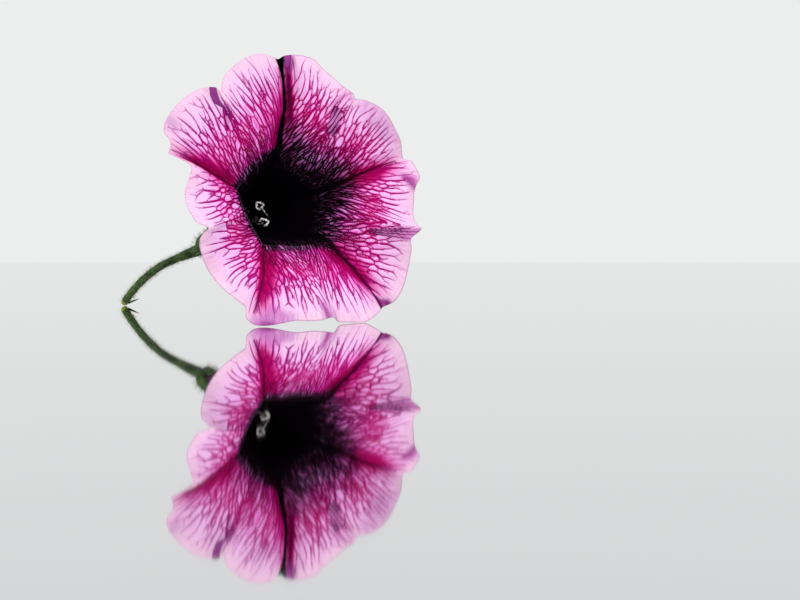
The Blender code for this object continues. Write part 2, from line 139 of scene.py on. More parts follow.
# Below this share the rows of meshes run on evenly, so many of them to a whole share.
ROWS_END = -0.6
DEEP_ROWS = 10.0

# Where the veins end, for so many ends to a mesh, and where the closed meshes open. Beyond a share, a
# vein starts only from another one.
VEIN_REACH = 0.91
REACH_SCATTER = 0.08
END_SCATTER = 0.05
ENDS_PER_MESH = 1.3
FED_BEYOND = 0.3
MESHES_OPEN = 0.5
OPENING_RUN = 0.28
GAP_CHANCE = 0.1

# How often the corners are pulled towards their neighbours, and how far at forks and at bends.
STRAIGHTENINGS = 2
FORK_PULL = 0.22
BEND_PULL = 0.55

# Twigs: where they begin, how many veins have one, the part of the vein that they stand on, then their
# run outwards in meshes and how far aside they go on it.
TWIG_START = 0.45
TWIG_CHANCE = 0.22
TWIG_PLACES = (0.1, 0.9)
TWIG_RUNS = (0.4, 0.8)
TWIG_SLANTS = (0.5, 0.9)
TWIG_THINNER = 0.75

# Where free ends taper and by how much, half widths of the veins by share of the limb, and how strong
# each kind of vein is.
TAPER_BEYOND = 0.4
END_TAPER = 0.75
VEIN_HALF_WIDTH = (
    (-0.34, 0.12), (0, 0.12), (0.15, 0.15), (0.3, 0.19), (0.5, 0.2), (0.7, 0.17), (0.85, 0.13),
    (0.97, 0.09))
MAIN_VEIN_GAP = 2.8
MAIN_GAP_SCATTER = (0.7, 1.3)
MAIN_VEIN_THICKER = 1.5
CROSS_VEIN_THINNER = 0.62
STRENGTH_SCATTER = (0.8, 1.15)

# Step of the samples along a vein, with the limb's length and a degree's breadth that serve to count
# them, and the samples to each place of a drawn line.
SAMPLE = 0.12
MEAN_LIMB = 30.0
MEAN_DEGREE = 0.45
LINE_SAMPLES = 60

# How far the samples may stand from a point of the sheet before their line is taken as blurred.
LINE_BLUR = 0.16

# Single veins on the flank of a pleat, as places of azimuth, share and half width.
PLEAT_VEINS = (
    ((131, 0.35, 0.3), (130.4, 0.55, 0.25), (130.2, 0.72, 0.2)),
    ((134.5, 0.5, 0.3), (132.5, 0.62, 0.2), (130.8, 0.74, 0.2)))

# Thin veins up the pleats, by their ends, with the share and half width of their feet.
PLEAT_VEIN_ENDS = (
    (55, 0.45, 0.12), (129.5, 0.7, 0.1), (200.3, 0.9, 0.08), (278, 0.6, 0.1), (341.5, 0.4, 0.1))
PLEAT_VEIN_FOOT = (0.1, 0.14)

# Dusky patches with dark stripes instead of the net, partly the petal's own mauve and partly painted shade
# on the flank of a fold: azimuth, share and half breadth in degrees of their two ends, how far the stripes
# cross the patch on their way, and their half width.
Patch = namedtuple("Patch", "start_azimuth start start_half end_azimuth end end_half slant stripe_half")
STRIPED_PATCHES = (Patch(53.4, 0.42, 4.6, 59.4, 0.74, 3.6, -1.5, 0.22),
                   Patch(335.4, 0.46, 1.3, 338.8, 1.0, 3.0, 0.3, 0.12))
STRIPE_GAP = 0.55

# Where a patch ends at its sides, as a share of its half breadth, and how soft its sides and ends are.
PATCH_RIM = 1.15
PATCH_SIDE_BLUR = 0.4
PATCH_END_BLUR = 0.06

# Mid rib lines as places of azimuth, share and half width, with how near black they are.
RIB_LINES = (
    ((15.5, FOOT_SHARE, 0.6, 1), (16.6, 0, 0.85, 1), (17.4, 0.15, 0.75, 1), (17.1, 0.36, 0.6, 0.9),
        (16.9, 0.55, 0.42, 0.75), (16.6, 0.7, 0.28, 0.4), (16, 0.86, 0.12, 0.1)),
    ((87.2, FOOT_SHARE, 0.6, 1), (87.2, 0, 0.8, 1)),
    ((162.6, FOOT_SHARE, 0.6, 1), (162.2, 0, 0.4, 1), (162.1, 0.12, 0.3, 0.75), (162, 0.3, 0.3, 0.7),
        (161.7, 0.6, 0.24, 0.45), (161.4, 0.8, 0.18, 0.3), (161.6, 0.97, 0.12, 0.3)),
    ((245.5, FOOT_SHARE, 0.6, 1), (245.5, 0.05, 0.4, 0.8), (245.3, 0.2, 0.36, 0.7),
        (244.9, 0.4, 0.36, 0.6), (244, 0.58, 0.36, 0.5), (243.2, 0.74, 0.34, 0.45),
        (242.9, 0.88, 0.24, 0.3)),
    ((314.5, FOOT_SHARE, 0.6, 1), (316, 0.05, 0.6, 1), (315.4, 0.12, 0.5, 1), (313.8, 0.24, 0.45, 0.95),
        (312.5, 0.42, 0.4, 0.9), (311.5, 0.56, 0.45, 0.7), (310.2, 0.72, 0.6, 0.5),
        (307.8, 0.87, 0.75, 0.5), (306.4, 0.97, 0.85, 0.75), (306.2, 1, 0.9, 0.9)))

# Throat darkness round the limb, the throat's own near black and painted shade down the tube: azimuth,
# share where it starts to fade, share that the fade takes, how violet the cells are in the fade, and how
# pale painted highlights make them. Then how far down the wall painted light leaves a trace, and it.
DARKNESS = (
    (0, -0.14, 0.54, 0.3, 0.3), (12, -0.08, 0.56, 0.3, 0), (24, -0.08, 0.56, 0.4, 0.3),
    (36, -0.14, 0.58, 0.6, 0.5), (48, -0.18, 0.55, 0.9, 0.9), (60, -0.18, 0.55, 0.9, 0.9),
    (72, -0.12, 0.53, 0.5, 0.5), (80, -0.08, 0.54, 0.4, 0.2), (88, -0.06, 0.5, 0.5, 0),
    (91, -0.03, 0.13, 0.6, 0), (108, -0.04, 0.14, 1, 0.4), (116, -0.06, 0.18, 1, 0.8),
    (126, -0.06, 0.2, 1, 0.9), (145, -0.04, 0.15, 1, 0.6), (160, 0, 0.12, 0.8, 0.2),
    (175, 0.01, 0.09, 0.8, 0.3), (200, 0.01, 0.11, 0.9, 0.6), (235, 0, 0.1, 0.6, 0.3),
    (250, -0.03, 0.18, 0.6, 0.5), (270, -0.1, 0.26, 0.7, 1), (285, -0.06, 0.2, 0.6, 0.7),
    (300, -0.02, 0.12, 0.5, 0.2), (312, -0.06, 0.3, 0.3, 0.1), (330, -0.16, 0.46, 0.5, 0.5),
    (342, -0.22, 0.5, 0.7, 0.9), (352, -0.16, 0.52, 0.4, 0.1))
WALL_FADE = -0.34
WALL_TRACE = 0.07

# How far the deep colours of the throat side reach outwards, by azimuth.
DEEPER = ((0, 1), (84, 1), (92, 0), (300, 0), (320, 0.7), (340, 0.8))

# Painted glints on the edge of the throat, as azimuth and strength. Where they are strong, the painted
# shade of the wall below them turns black at once.
EDGE_GLINTS = ((140, 0), (165, 0.5), (200, 0.8), (235, 0.7), (250, 0.3), (285, 0.4), (305, 0))

# Crimson beside each rib: azimuth, degrees that it reaches to either side at the throat, share that it
# reaches out and its strength.
CRIMSON = (
    (15.5, 16, 12, 0.55, 1), (89.1, 11, 20, 0.5, 0.85), (163.2, 18, 12, 0.66, 1), (244.7, 14, 17, 0.58, 1),
    (310, 16, 17, 0.52, 1))

# The same for the bright magenta that reaches further.
MAGENTA = (
    (15.5, 18, 12, 0.58, 0.8), (89.1, 10, 22, 0.52, 0.9), (163.2, 16, 22, 0.62, 0.9),
    (244.7, 20, 18, 0.56, 0.8), (310, 28, 14, 0.62, 0.9))

# The share where these tints have narrowed, the part of their breadth where they are full, and how soft
# they are at their sides and at their outer end.
TINT_NARROWED = 0.85
TINT_CORE = 0.25
TINT_SIDE_BLUR = 0.9
TINT_END_BLUR = 0.42

# The black crease of the top lobe, its dark rib and painted shade in its deep fold, as places of azimuth,
# share and half width, and the wine red on the flanks of the ribs, where the strength comes first.
BLACK_CREASE = (
    (87, FOOT_SHARE, 0.9), (86.6, 0, 0.9), (86.2, 0.14, 0.8), (87.5, 0.26, 0.8), (88.9, 0.38, 1.15),
    (89.5, 0.56, 1.15), (89.4, 0.74, 0.9), (89.5, 0.86, 0.95), (89.4, 0.92, 1.15), (88.9, 0.97, 1.4),
    (88.6, 1, 1.3))
WINE_FLANKS = (
    (0.6, ((90, 0.2, 0.4), (92, 0.4, 0.6), (91.8, 0.7, 0.5), (91.4, 0.88, 0.5))),
    (0.95, ((79.5, 0.06, 2.2), (81.5, 0.17, 1.7), (84, 0.3, 1.3), (86, 0.46, 1.2), (86.6, 0.64, 1.1),
        (86.8, 0.8, 0.9), (86.6, 0.9, 0.7))),
    (0.9, ((17.6, 0, 1.8), (17.4, 0.3, 0.9), (17, 0.5, 0.2))),
    (0.5, ((161.4, 0.08, 0.6), (161.8, 0.3, 0.2))),
    (0.6, ((165, 0.05, 0.9), (164.2, 0.2, 0.3))),
    (0.5, ((245.8, 0.08, 0.6), (245.2, 0.3, 0.2))),
    (0.8, ((316.8, 0.08, 1.1), (315, 0.3, 0.5), (312.8, 0.6, 0.1))))

# Violet folds where the petal turns its outer face up, as places of azimuth, share and half width.
VIOLET_FOLDS = (
    ((130.2, 0.99, 0.85), (131.2, 0.9, 1), (131.6, 0.83, 0.9), (130.9, 0.77, 0.4), (130, 0.71, 0.12)),
    ((86.2, 0.99, 1.1), (86.4, 0.95, 1), (87, 0.89, 0.6)))

# Softer marks, each with its strength, then places of azimuth, share and half width: dusky ones at folds
# and curled tips, partly their darker outer face and partly painted shade; magenta stains; pale mauve
# ones on the margins, mostly painted shade where they fold and partly the petal's own tint.
DUSKY_STAINS_AND_SHADE = (
    (0.45, ((56.3, 0.99, 0.2), (59.2, 0.88, 0.3), (61.8, 0.76, 0.1))),
    (0.9, ((85.4, 0.97, 1), (85.4, 0.91, 1), (86.4, 0.84, 0.6))),
    (0.9, ((340.2, 1, 0.6), (339.9, 0.95, 0.2))),
    (1, ((309, 0.8, 0.3), (308.6, 0.92, 1.3), (309.2, 1, 2.3))),
    (0.85, ((248.6, 1, 1.2), (251, 1, 0.8))),
    (0.75, ((361.6, 0.98, 0.9), (364.6, 0.88, 1.1), (366.8, 0.8, 0.5))),
    (0.7, ((274.8, 0.99, 0.6), (273.9, 0.9, 0.6), (272.8, 0.83, 0.3))),
    (0.6, ((129.6, 0.7, 0.2), (132, 0.6, 0.6), (134, 0.53, 0.5))))
MAGENTA_STAINS = (
    (1, ((56.3, 0.99, 0.1), (59, 0.88, 0.2), (61.8, 0.76, 0.1))),
    (0.7, ((82.5, 0.22, 1.2), (85.6, 0.42, 1.2), (86.6, 0.62, 1.1), (86.8, 0.85, 0.8), (86.4, 0.93, 0.5))),
    (0.8, ((248, 1, 2), (250.5, 0.9, 2.8), (249, 0.8, 1.8))),
    (0.7, ((243.2, 0.9, 0.1), (243.6, 0.75, 0.7), (244.4, 0.55, 1.4))),
    (0.9, ((363.6, 0.95, 1.2), (366.4, 0.82, 1.1))),
    (0.9, ((274.8, 0.96, 1), (273.4, 0.84, 0.7))),
    (0.9, ((163.6, 0.93, 0.1), (165.6, 0.8, 0.7), (167.6, 0.6, 1.2))))
MAUVE_STAINS_AND_SHADE = (
    (0.55, ((25, 0.98, 2), (31, 0.88, 3.4), (38, 0.86, 3.2), (46, 0.92, 2.4))),
    (0.7, ((277, 0.99, 2.4), (276, 0.92, 2.2), (274.6, 0.82, 1.6))),
    (0.9, ((246, 0.97, 2), (251, 0.92, 3), (256, 0.96, 1.8))),
    (0.7, ((362, 0.97, 1.8), (365, 0.88, 1.8), (368, 0.8, 1.2))),
    (0.5, ((151.5, 0.97, 1.6), (153, 0.88, 1.4))),
    (0.4, ((338, 0.95, 2), (337, 0.7, 2))),
    (0.4, ((58, 0.9, 2), (60, 0.75, 1.4))))
STRIP_SOFTNESS = 1.8
MAUVE_SOFTNESS = 3.4

# Stalk: places along its middle, its radius, the thicker part under the calyx and the flare that joins
# the two, with the shares of its length where they begin. Then the sliver of torn skin.
STALK_PATH = (
    (-41.7, 41.5, 0.75), (-39.05, 37.75, 3.9), (-35.65, 32.75, 7.24), (-32.25, 28.55, 9.94),
    (-28.95, 25.15, 12.1), (-25.4, 22.2, 13.75), (-21.4, 19.3, 15.4), (-16.78, 16.07, 17.13))
STALK_RADIUS = 1.05
STALK_TOP_RADIUS = 1.6
STALK_THICKENS = 0.72
STALK_FLARE = 0.5
FLARE_BEGINS = 0.98
STALK_STEPS = 90
STALK_SIDES = 28
SLIVER_PATH = ((-40.6, 40.8, 0.65), (-36.9, 39.4, 2.1))
SLIVER_WIDTH = 0.45
SLIVER_STEPS = 16
SLIVER_SIDES = 10
SLIVER_FLATTEN = 0.6

# Calyx: its wall and how much of it is left here, the gap to the stalk's joint, the cup with its profile
# as shares of the radius and heights, and the lobes, with the azimuth of a groove and of the first lobe,
# and the share of a lobe where its tip begins.
CALYX_WALL = 0.65
CALYX_THINNER = 0.55
SEAT_GAP = 0.3
CUP_RADIUS = 3.2
CUP_HEIGHT = 3.0
CUP_SIDES = 60
CUP_PROFILE = ((0.0, 0.0), (0.3, -0.02), (0.62, 0.05), (0.86, 0.28), (0.97, 0.8), (1.0, 1.6), (1.0, 3.3))
GROOVE_DEPTH = 0.12
LOBES = 5
LOBE_STEP = 360.0 / LOBES
LOBE_TURN = 18.0
FIRST_LOBE = LOBE_TURN + 0.4 * LOBE_STEP
LOBE_ROOT = 0.9
LOBE_LENGTH = 9.5
LOBE_WIDTH = 2.7
LOBE_SPREAD = 0.3
LOBE_TIP = 0.62
LOBE_COLUMNS = 10
LOBE_ROWS = 22

# Hairs: how many are tried, their lengths, how far they lean along the stalk or the cup, their radius,
# how thin their tips are, how deep they are rooted, and the places along the stalk where they may stand.
STALK_HAIRS = 1500
CALYX_HAIRS = 1300
STALK_HAIR_LENGTHS = (0.5, 1.3)
CALYX_HAIR_LENGTHS = (0.6, 1.5)
STALK_HAIR_LEANS = (-0.3, 0.3)
CALYX_HAIR_LEANS = (-0.1, 0.4)
HAIR_RADIUS = 0.035
HAIR_TIP = 0.12
HAIR_ROOT = 0.1
HAIR_SITES = 200

# Pistil in the middle of the tube; its top is a share of the tube's length.
OVARY_RADIUS = 1.2
OVARY_LENGTH = 4.2
STYLE_RADIUS = 0.34
STIGMA_RADIUS = 0.95
PISTIL_TOP = 0.46
PISTIL_STEPS = 60
PISTIL_SIDES = 24

# Stamens: azimuth of their seat on the wall, then share of the tube, azimuth and radius halfway and at
# the anther. Their seats stand at a share of the tube, a little below its wall.
STAMENS = ((297.0, 0.67, 287.0, 2.8, 0.78, 168.0, 4.1),
           (225.0, 0.58, 235.0, 4.0, 0.8, 240.0, 5.25),
           (153.0, 0.42, 153.0, 2.6, 0.5, 155.0, 3.0),
           (81.0, 0.4, 81.0, 2.6, 0.48, 90.0, 2.8),
           (9.0, 0.4, 9.0, 2.6, 0.46, 15.0, 2.8))
STAMEN_SEAT = 0.36
SEAT_RUN = 0.04
SEAT_DEPTH = 0.95
FILAMENT_RADIUS = 0.2
FILAMENT_STEPS = 40
STAMEN_SIDES = 10
ANTHER_LENGTH = 2.4
GRAIN_RADII = (0.08, 0.15)

# Anthers: start and end of the curl in degrees seen from the front, its radius and half thickness, grains
# on it, how pale the curl is and how pale its grains are. The three deep ones are near black, painted shade.
ANTHERS = (
    (70.0, 400.0, 0.86, 0.24, 210, 0.35, 1.0), (165.0, -80.0, 1.0, 0.27, 26, 1.0, 1.0),
    (0.0, 250.0, 0.6, 0.34, 40, 0.0, 0.1), (90.0, 330.0, 0.6, 0.34, 40, 0.0, 0.1),
    (180.0, 420.0, 0.6, 0.34, 40, 0.0, 0.1))
CURL_STEPS = 34

# Stage and the photograph's camera, in metres and degrees.
FLOOR_HALF_WIDTH = 1.6
FLOOR_BACK = 0.317
FLOOR_FRONT = -1.4
FLOOR_DROP = 0.0001
SURROUND = (0.84, 0.85, 0.85, 1.0)
LIGHT_TARGET = (0.0, -0.01, 0.03)
CAMERA_PLACE = (0.03694, -0.52748, 0.03778)
CAMERA_TILT = 86.352
CAMERA_LENS = 90.0
CAMERA_SENSOR = 36.0

EAST, NORTH, UP = np.eye(3)

rng = random.Random(VEIN_SEED)


def unit(vector):
    """The vector at length one."""
    return vector / np.linalg.norm(vector, axis=-1, keepdims=True)


AXIS = unit(LIMB_AXIS)
SIDE = unit(np.cross([0.0, 0.0, 1.0], AXIS))
RISE = np.cross(AXIS, SIDE)
THROAT_CENTRE = LIMB_CENTRE - THROAT_DROP * AXIS
TUBE_FOOT = STALK_JOINT + TUBE_FOOT_RISE * STALK_JOINT_AIM
TUBE_MIDDLE = THROAT_CENTRE - TUBE_BEND * AXIS


def ease(x):
    """A smooth step from 0 to 1."""
    x = np.clip(x, 0.0, 1.0)
    return x * x * (3.0 - 2.0 * x)


def run_in(share, start):
    """0 up to a share of the way, then a smooth rise to 1 at its end."""
    return ease((share - start) / (1.0 - start))


def along_stations(x, stations):
    """Straight interpolation through pairs of place and value."""
    return np.interp(x, [s[0] for s in stations], [s[1] for s in stations])


def turn(first, second):
    """The angle from second to first, between -180 and 180 degrees."""
    return (first - second + 180.0) % 360.0 - 180.0


def round_curve(stations):
    """A closed curve of value against azimuth through the stations, with no overshoot between them."""
    xs = np.array([s[0] for s in stations])
    ys = np.array([s[1] for s in stations])
    xs = np.concatenate([xs[-2:] - 360.0, xs, xs[:3] + 360.0])
    ys = np.concatenate([ys[-2:], ys, ys[:3]])
    gaps = np.diff(xs)
    slopes = np.diff(ys) / gaps
    tangents = np.zeros(len(xs))
    for i in range(1, len(xs) - 1):
        if slopes[i - 1] * slopes[i] > 0.0:
            before = 2.0 * gaps[i] + gaps[i - 1]
            after = gaps[i] + 2.0 * gaps[i - 1]
            tangents[i] = (before + after) / (before / slopes[i - 1] + after / slopes[i])

    def value(azimuth):
        x = np.mod(azimuth - xs[1], 360.0) + xs[1]
        i = np.clip(np.searchsorted(xs, x, side="right") - 1, 0, len(xs) - 2)
        t = (x - xs[i]) / gaps[i]
        ends = ys[i] * (1.0 + 2.0 * t) * (1.0 - t) ** 2 + ys[i + 1] * t * t * (3.0 - 2.0 * t)
        bends = tangents[i] * t * (1.0 - t) ** 2 + tangents[i + 1] * t * t * (t - 1.0)
        return ends + gaps[i] * bends

    return value


edge_radius = round_curve(EDGE)
edge_lift = round_curve(LIFT)


def polar(radius, azimuth):
    """Flat coordinates of a radius and an azimuth in degrees."""
    angle = np.radians(azimuth)
    return np.stack([radius * np.cos(angle), radius * np.sin(angle)], axis=-1)


THROAT_CORNERS = np.array([polar(rib[2], rib[1]) for rib in RIBS])
SECTOR_STARTS = np.array([rib[0] for rib in RIBS])
SECTOR_ENDS = np.append(SECTOR_STARTS[1:], SECTOR_STARTS[0] + 360.0)


def sector(azimuth):
    """Which pair of ribs an azimuth lies between, and how far along."""
    x = np.mod(azimuth - SECTOR_STARTS[0], 360.0) + SECTOR_STARTS[0]
    index = np.clip(np.searchsorted(SECTOR_STARTS, x, side="right") - 1, 0, len(RIBS) - 1)
    return index, (x - SECTOR_STARTS[index]) / (SECTOR_ENDS[index] - SECTOR_STARTS[index])


def throat_edge(azimuth):
    """Flat place on the throat's five sided edge, with its corners at the ribs."""
    index, t = sector(azimuth)
    first = THROAT_CORNERS[index]
    second = THROAT_CORNERS[(index + 1) % len(RIBS)]
    place = first * (1.0 - t)[:, None] + second * t[:, None]
    bulge = THROAT_BULGE * 4.0 * t * (1.0 - t)
    return place + unit(place) * bulge[:, None]


def limb_point(azimuth, share):
    """Place on the limb at a share of the way from the throat to the edge."""
    inner = throat_edge(azimuth)
    outer = polar(edge_radius(azimuth), azimuth)
    flat = inner + (outer - inner) * share[:, None]
    radius = np.linalg.norm(flat, axis=-1)
    height = -THROAT_DROP + (edge_lift(azimuth) + THROAT_DROP) * (1.0 - (1.0 - share) ** LIMB_CURVE)
    across = np.stack([flat[:, 1], -flat[:, 0]], axis=-1) / radius[:, None]

    def beside(at_edge, half_width):
        """1 on the middle of a rib or pleat, falling to 0 at its half width."""
        return np.clip(1.0 - np.radians(np.abs(turn(azimuth, at_edge))) * radius / half_width, 0.0, 1.0)

    for at_edge, _, _, middle_depth, edge_depth, half_width, bow in RIBS:
        middle = middle_depth * ease(share / VALLEY_FULL) * (1.0 - run_in(share, VALLEY_LEAVES))
        depth = middle + edge_depth * run_in(share, EDGE_VALLEY_BEGINS)
        height = height - depth * beside(at_edge, half_width) ** VALLEY_SHARPNESS
        pull = bow * 4.0 * share * (1.0 - share) * (1.0 - ease(np.abs(turn(azimuth, at_edge)) / BOW_REACH))
        flat = flat + across * pull[:, None]
    for at_edge, tall, half_width, reach in PLEATS:
        ridge = beside(at_edge, half_width) ** PLEAT_SHARPNESS
        height = height + tall * run_in(share, 1.0 - reach) * ridge
    for tall, count, phase in RUFFLES:
        wave = np.sin(np.radians(azimuth * count + phase))
        height = height + tall * wave * run_in(share, RUFFLES_BEGIN)
    return LIMB_CENTRE + flat[:, :1] * SIDE + flat[:, 1:] * RISE + height[:, None] * AXIS


def spine(t):
    """Middle of the tube, from its foot in the calyx to the throat."""
    t = np.asarray(t, float)[..., None]
    return TUBE_FOOT * (1.0 - t) ** 2 + 2.0 * TUBE_MIDDLE * t * (1.0 - t) + THROAT_CENTRE * t * t


def spine_frame(t):
    """The tube's own directions at a share of its length: along, side and rise."""
    t = np.asarray(t, float)[..., None]
    along = unit(2.0 * (TUBE_MIDDLE - TUBE_FOOT) * (1.0 - t) + 2.0 * (THROAT_CENTRE - TUBE_MIDDLE) * t)
    side = unit(SIDE - along * np.sum(SIDE * along, axis=-1, keepdims=True))
    return along, side, np.cross(along, side)


def tube_point(azimuth, t):
    """Place on the tube's wall, round at the foot and five sided at the throat."""
    flat = throat_edge(azimuth)
    ring = unit(flat) * THROAT_RADIUS
    sided = run_in(t, TUBE_ROUND)[:, None]
    flat = (ring * (1.0 - sided) + flat * sided) * (along_stations(t, TUBE_PROFILE) / THROAT_RADIUS)[:, None]
    _, side, rise = spine_frame(t)
    return spine(t) + flat[:, :1] * side + flat[:, 1:] * rise


def sheet_point(azimuth, share):
    """Place on the sheet: share runs from 0 at the throat to 1 at the edge, and below 0 down the tube."""
    limb = limb_point(azimuth, np.clip(share, 0.0, 1.0))
    tube = tube_point(azimuth, np.clip(1.0 + share * LIMB_LENGTH / TUBE_LENGTH, 0.0, 1.0))
    return np.where((share >= 0.0)[:, None], limb, tube)


class HalfLobe:
    """Half a lobe. The columns of its meshes lean from its rib towards its pleat."""

    def __init__(self, rib, pleat, lean, mesh_width, mesh_length):
        self.rib = rib
        self.span = abs(pleat - rib)
        self.sign = 1.0 if pleat > rib else -1.0
        self.lean = lean
        self.mesh_width = mesh_width
        self.mesh_length = mesh_length

    def share(self, row):
        """Share of the limb at a row of meshes, whose rows grow longer outwards."""
        across = row * self.mesh_length
        return across / (1.0 - MESH_STRETCH * across)

    def row(self, share):
        """Row of meshes at a share of the limb."""
        return share / (self.mesh_length * (1.0 + MESH_STRETCH * share))

    def leaned(self, share):
        """How far the veins have leaned towards the pleat, in degrees."""
        return self.lean * (1.0 - (1.0 - np.clip(share, 0.0, 1.0)) ** 2)


HALF_LOBES = [HalfLobe(*values) for values in VEIN_HALVES]


def mesh_seeds(half):
    """Middles of the meshes of a half lobe, in columns and rows, staggered and scattered."""
    seeds = []
    for row in range(math.floor(half.row(VEIN_START)) - 2, math.ceil(half.row(1.0)) + 3):
        lean = float(half.leaned(half.share(row)))
        last = math.ceil((half.span - lean) / half.mesh_width) + 2
        for column in range(math.floor(-lean / half.mesh_width) - 2, last + 1):
            seeds.append((column + rng.uniform(-MESH_SCATTER, MESH_SCATTER),
                          row + 0.5 * (column % 2) + rng.uniform(-MESH_SCATTER, MESH_SCATTER)))
    return seeds


def mesh_edges(seeds):
    """Corners of the meshes round the seeds, and the pairs of corners that a vein joins."""
    points, _, faces, _, _, _ = geometry.delaunay_2d_cdt([Vector(seed) for seed in seeds], [], [], 0, 1e-6)
    corners = []
    sides = {}
    for index, face in enumerate(faces):
        a, b, c = (points[k] for k in face)
        twice = 2.0 * ((b - a).cross(c - a))
        first = (b - a).length_squared
        second = (c - a).length_squared
        turned = Vector(((c - a).y * first - (b - a).y * second, (b - a).x * second - (c - a).x * first))
        corners.append(np.array(a + turned / twice))
        for pair in ((face[0], face[1]), (face[1], face[2]), (face[2], face[0])):
            sides.setdefault(tuple(sorted(pair)), []).append(index)
    return np.array(corners), [pair for pair in sides.values() if len(pair) == 2]


def vein_tree(half):
    """Corners and veins of a half lobe: closed meshes near the throat, free ends near the edge."""
    corners, pairs = mesh_edges(mesh_seeds(half))
    shares = half.share(np.clip(corners[:, 1], half.row(ROWS_END), half.row(1.0 - ROWS_END)))
    low = half.row(VEIN_START - 0.05)
    high = half.row(1.05)
    below = {}
    for i, j in pairs:
        if corners[i, 1] > corners[j, 1]:
            i, j = j, i
        if corners[i, 1] > low and corners[j, 1] < high:
            below.setdefault(j, []).append(i)
    ends = {}
    veins = []
    fed = set()
    for j in sorted(below, key=lambda k: corners[k, 1]):
        feeders = below[j]
        column = math.floor(corners[j, 0] * ENDS_PER_MESH)
        if column not in ends:
            ends[column] = VEIN_REACH + REACH_SCATTER * rng.uniform(-0.5, 1.0)
        if shares[j] > ends[column] + rng.uniform(-END_SCATTER, END_SCATTER):
            continue
        if shares[j] > FED_BEYOND:
            feeders = [i for i in feeders if i in fed]
        if len(feeders) > 1 and rng.random() < float(ease((shares[j] - MESHES_OPEN) / OPENING_RUN)):
            feeders = [min(feeders, key=lambda i: abs(corners[j, 0] - corners[i, 0]))]
        elif len(feeders) > 1 and rng.random() < GAP_CHANCE:
            feeders = feeders[:1]
        if feeders:
            fed.add(j)
            veins += [(i, j) for i in feeders]
    return corners, veins


def straighten(corners, veins):
    """Ease the veins' corners towards their neighbours, more so where only two veins meet."""
    joined = {}
    for i, j in veins:
        joined.setdefault(i, []).append(j)
        joined.setdefault(j, []).append(i)
    for _ in range(STRAIGHTENINGS):
        moved = corners.copy()
        for k, others in joined.items():
            if len(others) > 1:
                pull = FORK_PULL if len(others) > 2 else BEND_PULL
                moved[k] = corners[k] * (1.0 - pull) + corners[others].mean(axis=0) * pull
        corners = moved
    return corners


def vein_strengths(half, corners, veins):
    """How thick each vein is: main ones run on from the throat, and those across the flow are thin."""
    above = {}
    strengths = {}
    for i, j in veins:
        above.setdefault(i, []).append(j)
        across, along = np.abs(corners[j] - corners[i])
        thinner = CROSS_VEIN_THINNER if across > along else 1.0
        strengths[(i, j)] = thinner * rng.uniform(*STRENGTH_SCATTER)
    feet = sorted({i for i, _ in veins}, key=lambda k: corners[k, 1])
    column = -half.lean / half.mesh_width
    while column < half.span / half.mesh_width + 1.0:
        leaned = max(1.0 + column * half.mesh_width / half.lean, 0.0)
        row = half.row(0.0 if column > 0.0 else 1.0 - math.sqrt(leaned))
        at = min(feet, key=lambda k: abs(corners[k, 0] - column) + 0.7 * abs(corners[k, 1] - row + 0.5))
        while at in above:
            ahead = corners[above[at], 0]
            off = np.abs(ahead - column) + 0.3 * np.abs(ahead - corners[at, 0])
            up = above[at][int(np.argmin(off))]
            strengths[(at, up)] = MAIN_VEIN_THICKER
            at = up
        column += MAIN_VEIN_GAP * rng.uniform(*MAIN_GAP_SCATTER)
    return strengths


def twigs(half, corners, veins):
    """Short side branches on open veins: their start and end, their strength, and that the end is free."""
    made = []
    for i, j in veins:
        start = corners[i] + (corners[j] - corners[i]) * rng.uniform(*TWIG_PLACES)
        if TWIG_START < float(half.share(start[1])) < VEIN_REACH and rng.random() < TWIG_CHANCE:
            run = rng.uniform(*TWIG_RUNS)
            aside = rng.choice((-1.0, 1.0)) * run * rng.uniform(*TWIG_SLANTS)
            made.append((start, start + np.array([aside, run]), TWIG_THINNER, True))
    return made


def half_veins(half):
    """Samples along the veins of a half lobe: azimuth, share, half width and the steps to the next."""
    corners, veins = vein_tree(half)
    strengths = vein_strengths(half, corners, veins)
    corners = straighten(corners, veins)
    feet = {i for i, _ in veins}
    lines = [(corners[i], corners[j], strengths[(i, j)], j not in feet) for i, j in veins]
    made = []
    for start, end, strength, free in lines + twigs(half, corners, veins):
        across, along = np.abs(end - start)
        length = along * half.mesh_length * MEAN_LIMB + across * half.mesh_width * MEAN_DEGREE
        u = np.linspace(0.0, 1.0, max(5, int(length / SAMPLE)))
        share = half.share(start[1] + (end[1] - start[1]) * u)
        away = (start[0] + (end[0] - start[0]) * u) * half.mesh_width + half.leaned(share)
        width = along_stations(share, VEIN_HALF_WIDTH) * strength
        if free and share[-1] > TAPER_BEYOND:
            width = width * (1.0 - END_TAPER * u)
        azimuth = half.rib + half.sign * away
        inside = (away > -0.2) & (away < half.span + 0.2) & (share > VEIN_START) & (share < 1.0)
        made.append(np.stack([azimuth, share, width, np.gradient(azimuth), np.gradient(share)])[:, inside])
    return np.concatenate(made, axis=1)


def drawn_line(stations):
    """Samples of a line through places of azimuth, share, half width and anything more, then its steps."""
    x = np.linspace(0.0, len(stations) - 1.0, LINE_SAMPLES * len(stations))
    rows = [np.interp(x, range(len(stations)), values) for values in zip(*stations)]
    return np.stack(rows + [np.gradient(rows[0]), np.gradient(rows[1])])


def patch_middle(patch, share):
    """Azimuth of the middle of a striped patch, and its half breadth in degrees, at shares of the limb."""
    run = (share - patch.start) / (patch.end - patch.start)
    return (patch.start_azimuth + (patch.end_azimuth - patch.start_azimuth) * run,
            patch.start_half + (patch.end_half - patch.start_half) * run)


